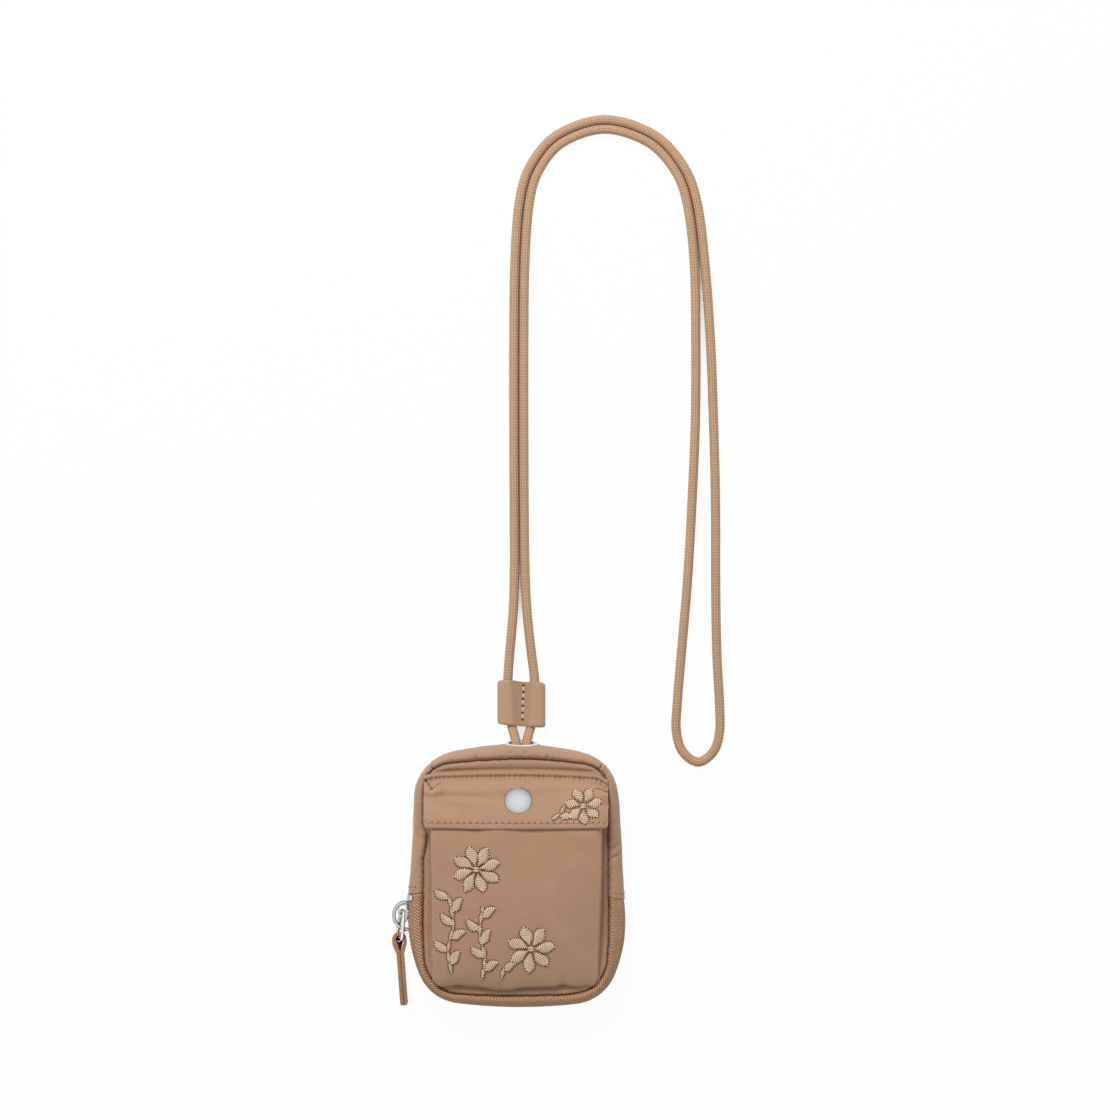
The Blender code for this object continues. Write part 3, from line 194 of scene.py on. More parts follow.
# %% Helpers of the effects


def paint(red, green, blue):
    """A colour as a screen shows it, from 0 to 255, turned into light."""
    linear = []
    for value in (red, green, blue):
        share = value / 255
        linear.append(share / 12.92 if share <= 0.04045 else ((share + 0.055) / 1.055) ** 2.4)
    return (*linear, 1.0)


def effect(name, sockets, outputs):
    """A new node group with named inputs and outputs, ready to be filled."""
    tree = bpy.data.node_groups.new(name, "ShaderNodeTree")
    for label, kind, value in sockets:
        socket = tree.interface.new_socket(label, in_out="INPUT", socket_type="NodeSocket" + kind)
        if value is not None:
            socket.default_value = value
    for label, kind in outputs:
        tree.interface.new_socket(label, in_out="OUTPUT", socket_type="NodeSocket" + kind)
    net = Net(tree)
    return net, net.add("NodeGroupInput").outputs, net.add("NodeGroupOutput").inputs


def parts_of(net, vector):
    """The three numbers of a vector."""
    return net.add("ShaderNodeSeparateXYZ", {0: vector}).outputs


def dimmed(net, colour, factor):
    """A colour, or any vector, times a number."""
    made = net.add("ShaderNodeVectorMath", {0: colour}, operation="SCALE")
    net.put(factor, made.inputs["Scale"])
    return made.outputs[0]


def wave(net, value):
    """A sine wave from 0 to 1 that repeats at every whole number."""
    turned = net.maths("SINE", net.maths("MULTIPLY", value, TAU))
    return net.maths("MULTIPLY_ADD", turned, 0.5, 0.5)


# %% Node groups for weave, herringbone, braid, grain and tone


def weave_effect():
    """Threads that cross over and under, thicker in some places."""
    net, given, out = effect(
        "crossed threads", [("Place", "Vector", None), ("Pitch", "Float", 0.0004)], [("Height", "Float")])
    across, along, _ = parts_of(net, given["Place"])
    warp = net.maths("SINE", net.maths("MULTIPLY", net.maths("DIVIDE", across, given["Pitch"]), TAU))
    weft = net.maths("SINE", net.maths("MULTIPLY", net.maths("DIVIDE", along, given["Pitch"]), TAU))
    over = net.maths("MULTIPLY_ADD", net.maths("MULTIPLY", warp, weft), 0.5, 0.5)
    counted = dimmed(net, given["Place"], net.maths("DIVIDE", 1.0, given["Pitch"]))
    drawn_out = (0.07, 0.8, 0.0)
    pulled = net.add("ShaderNodeVectorMath", {0: counted, 1: drawn_out}, operation="MULTIPLY").outputs[0]
    slubs = net.add("ShaderNodeTexNoise", {"Vector": pulled, "Scale": 1.0}).outputs[0]
    height = net.maths("ADD", net.maths("MULTIPLY", over, 0.45), net.maths("MULTIPLY", slubs, 0.55))
    net.put(height, out["Height"])
    return net.tree


def herringbone_effect():
    """Slanting ribs that turn back at every band, each rib made of small stitches."""
    net, given, out = effect(
        "herringbone ribs",
        [("Place", "Vector", None), ("Rib", "Float", 0.0017), ("Band", "Float", 0.0023),
         ("Steep", "Float", 1.3)],
        [("Height", "Float")])
    along, across, _ = parts_of(net, given["Place"])
    zigzag = net.maths("MULTIPLY", net.maths("PINGPONG", across, given["Band"]), given["Steep"])
    rib = wave(net, net.maths("DIVIDE", net.maths("ADD", along, zigzag), given["Rib"]))
    valley = net.maths("POWER", net.maths("SUBTRACT", 1.0, rib), 1.6)
    scale = net.maths("DIVIDE", 1.0, net.maths("DIVIDE", given["Rib"], 5.0))
    dots = net.add("ShaderNodeTexVoronoi", {"Vector": given["Place"], "Scale": scale}).outputs[0]
    crest = net.maths("SUBTRACT", 1.0, valley)
    net.put(net.maths("SUBTRACT", crest, net.maths("MULTIPLY", dots, 0.35)), out["Height"])
    return net.tree


def braid_effect():
    """Columns of short strands that slant to the left and the right in turn."""
    net, given, out = effect(
        "braided strands",
        [("Place", "Vector", None), ("Columns", "Float", 8.0), ("Pitch", "Float", 0.0017)],
        [("Height", "Float")])
    around, along, _ = parts_of(net, given["Place"])
    column = net.maths("MULTIPLY", around, given["Columns"])
    slant = net.maths("MULTIPLY", net.maths("PINGPONG", column, 1.0), 0.5)
    strand = wave(net, net.maths("ADD", net.maths("DIVIDE", along, given["Pitch"]), slant))
    ridge = net.maths("SINE", net.maths("MULTIPLY", net.maths("FRACT", column), math.pi))
    laid = net.maths("MULTIPLY_ADD", strand, 0.6, 0.4)
    net.put(net.maths("MULTIPLY", laid, net.maths("POWER", ridge, 0.5)), out["Height"])
    return net.tree


def grain_effect():
    """Small round cells with a finer roughness over them."""
    net, given, out = effect(
        "fine grain", [("Place", "Vector", None), ("Cell", "Float", 0.0005)], [("Height", "Float")])
    scale = net.maths("DIVIDE", 1.0, given["Cell"])
    cells = net.add("ShaderNodeTexVoronoi", {"Vector": given["Place"], "Scale": scale}, feature="SMOOTH_F1")
    clouds = net.add("ShaderNodeTexNoise", {"Vector": given["Place"], "Scale": scale, "Detail": 3.0})
    height = net.maths("ADD", cells.outputs["Distance"], clouds.outputs[0])
    net.put(net.maths("MULTIPLY", height, 0.5), out["Height"])
    return net.tree


def tone_effect():
    """A colour that drifts a little lighter and darker over patches."""
    net, given, out = effect(
        "drifting tone",
        [("Place", "Vector", None), ("Colour", "Color", None), ("Spread", "Float", 0.06),
         ("Patch", "Float", 0.012)],
        [("Colour", "Color"), ("Patches", "Float")])
    scale = net.maths("DIVIDE", 1.0, given["Patch"])
    clouds = net.add("ShaderNodeTexNoise", {"Vector": given["Place"], "Scale": scale, "Detail": 4.0})
    lift = net.maths("MULTIPLY_ADD", clouds.outputs[0], 2.0, -1.0)
    gain = net.maths("MULTIPLY_ADD", lift, given["Spread"], 1.0)
    net.put(dimmed(net, given["Colour"], gain), out["Colour"])
    net.put(clouds.outputs[0], out["Patches"])
    return net.tree


WEAVE = weave_effect()
HERRINGBONE = herringbone_effect()
BRAID = braid_effect()
GRAIN = grain_effect()
TONE = tone_effect()
print("effects", [tree.name for tree in (WEAVE, HERRINGBONE, BRAID, GRAIN, TONE)])

# %% [markdown]
# ## The finishes
# The pouch is matt nylon in one camel brown, with a darker lining, a twill zip tape, calf leather for
# the keeper and the pull, a braided cord and satin nickel hardware. Every finish is the same recipe: a
# pattern gives a height, the height dents the surface and paints shade into the colour of its low places,
# and a drifting tone keeps large areas from looking printed.

# %% Colours and sheens
STRAND_PITCH = 1.4 * MM
CAMEL = paint(184, 146, 117)
# Lighter than the cloth: a painted highlight on the raised stitches.
CAMEL_LIGHT = paint(200, 164, 134)
TAPE_BROWN = paint(218, 171, 131)
LINING_BROWN = paint(150, 116, 92)
CORD_BROWN = paint(214, 173, 138)
LEATHER_BROWN = paint(188, 152, 122)
THREAD_BROWN = paint(238, 209, 178)
# Dark brown of the seam thread and the pull's slits, also the painted shade of the embroidery's needle holes
# and inside the pull's eye.
SEAM_AND_SHADE_BROWN = paint(74, 50, 34)
PULL_BROWN = paint(170, 124, 88)
NICKEL = (0.66, 0.65, 0.67, 1.0)
CAP_NICKEL = (0.77, 0.765, 0.78, 1.0)
RING_NICKEL = (0.9, 0.89, 0.9, 1.0)
EYELET_NICKEL = (0.92, 0.91, 0.92, 1.0)
# Dark brown for the needle holes: painted shade.
HOLE_SHADE_BROWN = paint(52, 34, 24)
HALF_MATT = (0.42, 0.58)
POLISHED = (0.2, 0.3)

# %% Recipe of a finish


def finish(name, colour, pattern=None, sizes=None, coords="UV", depth=0.06, painted_low_shade=0.18, spread=0.06,
           patch=0.012, rough=(0.72, 0.86), metallic=0.0, sheen=0.0, rim=0.0, fade=0.0):
    """A finish: pattern height into bump and painted shade of its low places, drifting tone into colour and
    roughness, and optional painted shade where the surface turns away and by the reach attribute.
    """
    made = bpy.data.materials.new(name)
    made.use_nodes = True
    net = Net(made.node_tree)
    shader = made.node_tree.nodes["Principled BSDF"]
    place = net.add("ShaderNodeTexCoord").outputs["Object"]
    follows = net.add("ShaderNodeUVMap", uv_map="run").outputs[0] if coords == "UV" else place
    tone = net.add("ShaderNodeGroup", node_tree=TONE)
    for label, value in (("Place", place), ("Colour", colour), ("Spread", spread), ("Patch", patch)):
        net.put(value, tone.inputs[label])
    shade = tone.outputs["Colour"]
    if pattern is not None:
        raised = net.add("ShaderNodeGroup", {"Place": follows, **(sizes or {})}, node_tree=pattern)
        height = raised.outputs["Height"]
        # Painted shade: the colour is darker where the pattern's height is low.
        shade = dimmed(net, shade, net.maths("MULTIPLY_ADD", height, painted_low_shade, 1.0 - painted_low_shade))
        dent = net.add("ShaderNodeBump", {"Height": height, "Distance": depth * MM, "Strength": 1.0})
        net.put(dent.outputs[0], shader.inputs["Normal"])
    if rim:
        # Painted shade: the colour darkens where the surface turns away from the camera.
        facing = net.add("ShaderNodeLayerWeight", {"Blend": 0.5}).outputs["Facing"]
        shade = dimmed(net, shade, net.maths("MAXIMUM", net.maths("MULTIPLY_ADD", facing, -rim, 1.0), 0.3))
    if fade:
        # Painted shade: the colour darkens with the cube of the reach attribute.
        reach = net.add("ShaderNodeAttribute", attribute_name="reach").outputs["Fac"]
        shade = dimmed(net, shade, net.maths("MULTIPLY_ADD", net.maths("POWER", reach, 3.0), -fade, 1.0))
    net.put(shade, shader.inputs["Base Color"])
    worn = net.maths("MULTIPLY_ADD", tone.outputs["Patches"], rough[1] - rough[0], rough[0])
    net.put(worn, shader.inputs["Roughness"])
    shader.inputs["Metallic"].default_value = metallic
    shader.inputs["Sheen Weight"].default_value = sheen
    return made


def grained(name, colour, cell, depth, painted_low_shade, **more):
    """A finish with a fine grain, its cell and depth in millimetres, that follows no map."""
    return finish(name, colour, GRAIN, {"Cell": cell * MM}, "Object", depth, painted_low_shade, **more)


def nickel(name, colour, rough, rim, fade=0.0):
    """Plated metal, with painted shade where it turns away from the eye."""
    return grained(name, colour, 0.09, 0.002, 0.03, spread=0.03, patch=0.006, rough=rough, metallic=1.0,
                   rim=rim, fade=fade)


# %% Materials of the pouch
NYLON = finish("camel_nylon", CAMEL, WEAVE, {"Pitch": 0.62 * MM}, depth=0.05, painted_low_shade=0.17, spread=0.08,
               patch=0.007, sheen=0.18)
LINING = finish("lining_nylon", LINING_BROWN, WEAVE, {"Pitch": 0.5 * MM}, "Object", 0.03, 0.12)
TWILL = finish("twill_tape", TAPE_BROWN, HERRINGBONE, {"Rib": 1.5 * MM, "Band": 2.0 * MM},
               depth=0.3, painted_low_shade=0.53)
CORD = finish("braided_cord", CORD_BROWN, BRAID, {"Columns": 10.0, "Pitch": STRAND_PITCH},
              depth=0.16, painted_low_shade=0.5)
# The keeper's leather darkens deep in its valley: painted shade.
LEATHER = grained("calf_leather", LEATHER_BROWN, 0.55, 0.035, 0.08, spread=0.05, patch=0.01,
                  rough=HALF_MATT, fade=0.24)
PULL_LEATHER = grained("pull_leather", PULL_BROWN, 0.5, 0.035, 0.1, patch=0.008, rough=HALF_MATT)
THREAD = grained("embroidery_thread", THREAD_BROWN, 0.22, 0.03, 0.14, spread=0.07, patch=0.004,
                 rough=HALF_MATT, sheen=0.2)
HEM_THREAD = grained("hem_thread", CAMEL_LIGHT, 0.22, 0.03, 0.14, sheen=0.1)
SEAM_THREAD_AND_SHADE = grained("seam_thread", SEAM_AND_SHADE_BROWN, 0.22, 0.03, 0.14)
HOLE_SHADE = grained("needle_hole", HOLE_SHADE_BROWN, 0.3, 0.02, 0.2)
KNOT = grained("knot_braid", CORD_BROWN, 0.6, 0.1, 0.25)
COIL = grained("nylon_coil", TAPE_BROWN, 0.3, 0.01, 0.1, spread=0.05, patch=0.004, rough=(0.35, 0.5))
STEEL = nickel("satin_nickel", NICKEL, (0.24, 0.36), 1.2)
# The cap gets painted shade towards its outer edge and where it turns away from the camera.
CAP_STEEL = nickel("polished_nickel", CAP_NICKEL, POLISHED, 1.3, 0.42)
RING_STEEL = nickel("bright_nickel", RING_NICKEL, POLISHED, 0.7)
EYELET_STEEL = nickel("eyelet_nickel", EYELET_NICKEL, POLISHED, 0.2)
print(len(bpy.data.materials), "materials")

# %% [markdown]
# ## Ways of making a piece
# Most of this object is skin: a grid of points with a thickness. A grid carries its own map in
# metres, so that a weave keeps its thread count whatever the shape. The helpers below also give a piece
# its body, its finish and the solid that it stands for.

# %% Skins and how they are dressed


def add_piece(name, mesh, material):
    """A smooth piece in the scene with one finish."""
    piece = bpy.data.objects.new(name, mesh)
    scene.collection.objects.link(piece)
    mesh.materials.clear()
    mesh.materials.append(material)
    mesh.shade_smooth()
    return piece


def run_lengths(points, axis):
    """Distance travelled along a grid of points, from 0 at its first row or column."""
    steps = np.linalg.norm(np.diff(points, axis=axis), axis=-1)
    start = np.zeros_like(np.take(steps, [0], axis=axis))
    return np.concatenate([start, np.cumsum(steps, axis=axis)], axis=axis)


def skin(name, points, material, wrap=False, run=None):
    """A sheet through a grid of points, rows by columns, with a map in metres along and across it."""
    rows, columns = points.shape[:2]
    if run is None:
        closed = np.concatenate([points, points[:, :1]], axis=1) if wrap else points
        along = run_lengths(closed, 1).mean(axis=0)
        across = run_lengths(closed, 0).mean(axis=1)
        run = np.stack(np.broadcast_arrays(along[None, :], across[:, None]), axis=-1)
    faces, corners = [], []
    for row in range(rows - 1):
        for column in range(columns if wrap else columns - 1):
            after = (column + 1) % columns
            faces.append((row * columns + column, row * columns + after,
                          (row + 1) * columns + after, (row + 1) * columns + column))
            corners += [run[row, column], run[row, column + 1],
                        run[row + 1, column + 1], run[row + 1, column]]
    mesh = bpy.data.meshes.new(name)
    mesh.from_pydata(points.reshape(-1, 3).tolist(), [], faces)
    layer = mesh.uv_layers.new(name="run")
    layer.data.foreach_set("uv", np.array(corners, dtype=np.float32).ravel())
    return add_piece(name, mesh, material)


def thicken(piece, thickness):
    """Gives a sheet its thickness, on its inner side."""
    solid = piece.modifiers.new("thickness", "SOLIDIFY")
    solid.thickness = thickness
    solid.offset = -1.0
    solid.use_quality_normals = True
    return piece


def dress(piece, body, slot, *nodes):
    """Puts a finished piece on its body and hides the solids that it stands for; its slot is not used."""
    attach(piece, body)
    if nodes:
        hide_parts(*nodes)
    return piece


# %% Turned pieces and smooth shapes


def lathe(name, profile, material, place, steps=64):
    """A turned piece from (radius, height) points in millimetres, set on an axis."""
    shape = bmesh.new()
    rings = []
    for radius, height in profile:
        if radius == 0:
            rings.append([shape.verts.new(place @ Vector((0.0, 0.0, height * MM)))])
            continue
        ring = []
        for step in range(steps):
            angle = TAU * step / steps
            spot = Vector((radius * math.cos(angle), radius * math.sin(angle), height)) * MM
            ring.append(shape.verts.new(place @ spot))
        rings.append(ring)
    for ring, following in zip(rings, rings[1:]):
        for step in range(steps):
            corners = [ring[step % len(ring)], ring[(step + 1) % len(ring)],
                       following[(step + 1) % len(following)], following[step % len(following)]]
            shape.faces.new(list(dict.fromkeys(corners)))
    bmesh.ops.recalc_face_normals(shape, faces=shape.faces)
    mesh = bpy.data.meshes.new(name)
    shape.to_mesh(mesh)
    shape.free()
    girths = [radius for radius, _ in profile for _ in range(steps if radius else 1)]
    # Reach, each point's share of the greatest radius, lets a finish paint shade towards the outer edge.
    reach = mesh.attributes.new("reach", "FLOAT", "POINT")
    reach.data.foreach_set("value", np.array(girths, dtype=np.float32) / max(girths))
    return add_piece(name, mesh, material)


def soft_noise(x, y, scale, seed):
    """A smooth random height from about -1 to 1, the same at every run."""
    wide_x, wide_y = np.broadcast_arrays(x, y)
    places = zip(wide_x.ravel() / scale, wide_y.ravel() / scale)
    return np.array([noise.noise(Vector((a, b, seed))) for a, b in places]).reshape(wide_x.shape)


def bump_at(value, centre, width):
    """1 at the centre, falling smoothly to 0 over the width."""
    return np.exp(-((value - centre) / width) ** 2)


def ease(value, start, end):
    """0 up to the start, 1 from the end on, and a smooth rise between them."""
    share = np.clip((value - start) / (end - start), 0.0, 1.0)
    return share * share * (3 - 2 * share)


# %% [markdown]
# ## The cord
# A neck cord is a hollow braid over a core: limp, round and about 1.27 m long here, seen from end to
# end. It leaves through the eyelet as two strands, runs through the keeper, turns over at the top and
# comes back as one long loop; both ends meet in a knot inside the pouch. It could be a bevelled curve,
# but the braid shows at this scale, so it is a mesh tube whose strands are raised ring by ring.

# %% Route of the cord
CORD_DIAMETER = 4.3 * MM
CORD_CORNER = Vector((2.4, 60.0, 0.0))
# Each row: the middle between the two strands, from the eyelet, and half the gap between them, in millimetres
CORD_RUN = [
    (0.0, -3.0, 8.3, 2.45), (0.0, 0.5, 7.5, 2.45), (0.0, 4.5, 5.5, 3.3), (0.0, 8.5, 3.9, 4.4),
    (0.0, 15.0, 3.7, 5.3), (0.0, 24.0, 3.7, 6.1), (-0.1, 31.0, 3.7, 6.1), (-0.4, 42.8, 3.65, 4.95),
    (-0.6, 61.2, 3.45, 3.2), (-0.8, 79.6, 2.7, 2.45), (-1.0, 105.0, 2.2, 2.3), (-1.2, 145.0, 2.2, 2.3),
    (-1.2, 185.0, 2.2, 2.3), (-0.7, 223.0, 2.2, 2.3), (1.4, 250.7, 2.2, 2.3), (6.4, 266.8, 2.2, 2.25),
    (18.0, 280.0, 2.2, 2.2), (38.5, 286.5, 2.2, 2.2), (59.5, 280.2, 2.2, 2.2), (72.4, 267.0, 2.2, 2.2),
    (78.8, 250.7, 2.2, 2.3), (82.3, 223.0, 2.2, 2.45), (84.0, 186.3, 2.2, 3.4), (84.6, 149.5, 2.2, 4.2),
    (84.3, 112.7, 2.2, 5.4), (83.3, 75.9, 2.2, 6.5), (82.2, 43.7, 2.2, 8.1), (81.8, 18.4, 2.2, 9.8),
    (81.6, 6.0, 2.2, 10.0),
]
CORD_LOOP_END = [(88.9, -3.2, 2.2), (81.7, -8.3, 2.2), (74.4, -3.2, 2.2)]
CORD_COLUMNS = 10
CORD_RING = 0.32 * MM
CORD_RELIEF = 0.09 * MM


def cord_route():
    """Route points: out along one strand, round the far loop and back along the other."""
    middles = [Vector(row[:3]) + CORD_CORNER for row in CORD_RUN]
    outgoing, returning = [], []
    for index, (middle, row) in enumerate(zip(middles, CORD_RUN)):
        ahead = middles[min(index + 1, len(middles) - 1)] - middles[max(index - 1, 0)]
        left = Vector((-ahead.y, ahead.x, 0.0)).normalized() * row[3]
        outgoing.append(middle + left)
        returning.append(middle - left)
    loop_end = [Vector(point) + CORD_CORNER for point in CORD_LOOP_END]
    return [point * MM for point in outgoing + loop_end + returning[::-1]]


def smooth_path(route, steps=24):
    """Points on the smooth curve through the route."""
    ends = [2 * route[0] - route[1]] + route + [2 * route[-1] - route[-2]]
    fine = []
    for index in range(len(route) - 1):
        before, start, end, after = ends[index:index + 4]
        for step in range(steps):
            share = step / steps
            curve = 2 * start + (end - before) * share
            curve += (2 * before - 5 * start + 4 * end - after) * share ** 2
            curve += (3 * start - before - 3 * end + after) * share ** 3
            fine.append(0.5 * curve)
    return np.array(fine + [route[-1]])


def even_path(points, spacing):
    """The same path with its points an even distance apart."""
    marks = run_lengths(points, 0)
    count = int(round(marks[-1] / spacing)) + 1
    wanted = np.linspace(0.0, marks[-1], count)
    return np.stack([np.interp(wanted, marks, points[:, axis]) for axis in range(3)], axis=-1), wanted


def path_frames(points):
    """Unit vectors along a path, level across it and up from it."""
    along = np.gradient(points, axis=0)
    along /= np.linalg.norm(along, axis=1, keepdims=True)
    level = np.cross(along, np.array([0.0, 0.0, 1.0]))
    level /= np.linalg.norm(level, axis=1, keepdims=True)
    return along, level, np.cross(level, along)


def tube_skin(name, points, radius, sides, material, relief=None):
    """A round tube along a path, with an optional relief for each ring and side."""
    _, level, up = path_frames(points)
    turns = TAU * np.arange(sides) / sides
    radii = np.full((len(points), sides), radius)
    if relief is not None:
        radii = radii + relief
    around = level[:, None] * np.cos(turns)[None, :, None] + up[:, None] * np.sin(turns)[None, :, None]
    grid = points[:, None] + around * radii[..., None]
    marks = run_lengths(points, 0)
    share = np.arange(sides + 1) / sides
    run = np.stack(np.broadcast_arrays(share[None, :], marks[:, None]), axis=-1)
    return skin(name, grid[:, ::-1], material, wrap=True, run=run)


# %% Braided cord
cord_path, cord_marks = even_path(smooth_path(cord_route()), CORD_RING)
sides = 2 * CORD_COLUMNS
column = np.arange(sides)
strand = np.cos(TAU * (cord_marks[:, None] / STRAND_PITCH + 0.5 * (column[None, :] // 2 % 2)))
ridge = np.where(column % 2 == 0, 0.6, -1.0)
cord_relief = CORD_RELIEF * (0.55 * ridge[None, :] + 0.45 * strand * (column % 2 == 0))
cord = tube_skin("cord_braid", cord_path, CORD_DIAMETER / 2 - 0.02 * MM, sides, CORD, cord_relief)
dress(cord, "pouch", "braid", "cord")

# %% [markdown]
# ## The outlines
# The pouch is two panels joined by a gusset, so two outlines rule its cloth: the seam round each panel
# and the fullest line of the gusset half way between them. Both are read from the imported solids: the
# outline of a convex shape is the hull of its points, read here as a radius for every angle. The seam then
# gets the small waver of a sewn line, and a jog at the left.

# %% Seam line and body line
LINE_STEPS = 1440
MID_Z = 9.2 * MM
HALF_DEPTH = 8.7 * MM
FRONT_Z = 18.4 * MM
SEAM_JOG = 1.7 * MM
LINE_ANGLES = np.linspace(0.0, TAU, LINE_STEPS, endpoint=False)


def hull_radius(names):
    """Distance from the origin to the outline of some nodes, for every angle round them."""
    spots = [(v.co.x, v.co.y) for name in names for v in NODES[name].data.vertices]
    ring = np.array([spots[index] for index in geometry.convex_hull_2d(spots)])
    polar = np.arctan2(ring[:, 1], ring[:, 0]) % TAU
    order = np.argsort(polar)
    ring, polar = ring[order], polar[order]
    index = (np.searchsorted(polar, LINE_ANGLES, side="right") - 1) % len(ring)
    start, edge = ring[index], ring[(index + 1) % len(ring)] - ring[index]
    ray = np.stack([np.cos(LINE_ANGLES), np.sin(LINE_ANGLES)], axis=-1)
    radius = np.cross(start, edge) / np.cross(ray, edge)
    window = np.exp(-np.linspace(-2, 2, 25) ** 2)
    window /= window.sum()
    padded = np.concatenate([radius[-12:], radius, radius[:12]])
    return np.convolve(padded, window, mode="valid")


SEAM_RADIUS = hull_radius(["front_panel"])
for waver, waves in ((0.24 * MM, 9), (0.2 * MM, 30)):
    SEAM_RADIUS = SEAM_RADIUS + waver * np.array([
        noise.noise(Vector((waves * math.cos(angle), waves * math.sin(angle), 4.4)))
        for angle in LINE_ANGLES])
line_degrees = np.degrees(LINE_ANGLES)
jog = SEAM_JOG * ease(line_degrees, 151.5, 155.5) * (1 - ease(line_degrees, 156.0, 172.0))
SEAM_RADIUS = SEAM_RADIUS - jog
BODY_RADIUS = hull_radius(["upper_gusset", "zip_coil_front", "zip_coil_back"])


def on_line(radius, angles, inset=0.0):
    """Points (x, y) on one of the two lines at some angles."""
    reach = np.interp(angles, LINE_ANGLES, radius, period=TAU) - inset
    return np.stack([reach * np.cos(angles), reach * np.sin(angles)], axis=-1)


print("seam", round(SEAM_RADIUS.min() / MM, 1), "to", round(SEAM_RADIUS.max() / MM, 1), "mm from the middle")

# %% [markdown]
# ## Gusset and zip tapes
# The gusset is a strip of the same nylon, sewn to both panels and full between them. Where it goes
# round a corner the spare cloth on its inner side has to go somewhere: it makes small pleats. The sleeve
# below is swept round the outline, pulled down into each seam, and creased where the photograph shows
# it. The zip tapes take over in the lower half and stop short of each other at the chain.

# %% Sleeve of cloth round the pouch
TUCK = 2.5 * MM
TUCK_WIDTH = 0.65 * MM
PUFF = 1.5 * MM
PUFF_AT = 2.4 * MM
SLEEVE_POWER = 2.5
EYELET_X = 2.4 * MM
EYELET_Y = 60.0 * MM
EYELET_LEAN = math.radians(7)
EYELET_FLANGE = 7.5 * MM
EYELET_BORE = 5.6 * MM
ZIP_LEFT = math.radians(189.9)
ZIP_RIGHT = math.radians(-12.7)
# Each crease: degrees round the pouch, slant, depth and breadth in millimetres, how far out it reaches
CREASES = [
    (127.8, 0.3, 3.1, 0.65, 0.6), (131.6, 0.8, 0.9, 0.6, 0.3), (52.0, -0.3, 2.5, 0.65, 0.6),
    (48.4, -1.2, 0.9, 0.6, 0.3), (74.8, 0.4, 1.2, 0.9, 0.13), (108.6, 0.4, 1.1, 1.1, 0.13),
    (16.0, -1.6, 0.8, 1.3, 0.5), (11.0, -1.4, 0.6, 1.2, 0.5), (28.0, 1.2, 0.35, 1.6, 0.5),
    (158.0, 1.2, 0.4, 1.6, 0.5), (92.0, 1.0, 0.5, 1.4, 0.12), (60.0, 0.6, 0.5, 1.0, 0.14),
    (119.0, 0.8, 0.6, 1.0, 0.14), (85.0, 0.4, 0.6, 1.2, 0.12), (100.0, 0.4, 0.5, 1.0, 0.12),
]
# Each place of a fit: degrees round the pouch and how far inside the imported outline, in millimetres
GUSSET_FIT = [(-13, 0.4), (-8, 0.5), (5, 0.5), (25, 0.5), (40, 0.9), (65, 0.9), (78, 0.5), (90, 0.1),
              (100, 0.4), (113, 0.8), (128, 1.2), (140, 1.0), (155, 1.35), (168, 1.2), (182, 0.9), (190, 0.7)]
TAPE_FIT = [(189, 1.2), (191.5, 1.0), (196, 0.6), (225, 0.5), (240, 0.1), (255, -0.5), (270, -0.75),
            (285, -0.75), (300, -0.55), (328, -0.6), (338, -0.2), (344, 0.1), (348, 0.6)]
CLOTH_THICK = 0.6 * MM
TAPE_THICK = 0.5 * MM
SWELL = 0.25 * MM
SEAM_PUCKER = 0.16 * MM


def fit(table, angles):
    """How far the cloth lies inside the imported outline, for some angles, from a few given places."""
    degrees, inset = np.array(table).T
    return np.interp(np.degrees(angles), degrees, inset) * MM


def crowded(start, end, count, places, width, gain):
    """Angles from start to end that lie closer together round some places."""
    fine = np.linspace(start, end, 6000)
    density = 1 + gain * sum(bump_at(fine, math.radians(place), math.radians(width)) for place in places)
    passed = np.cumsum(density)
    return np.interp(np.linspace(passed[0], passed[-1], count), passed, fine)


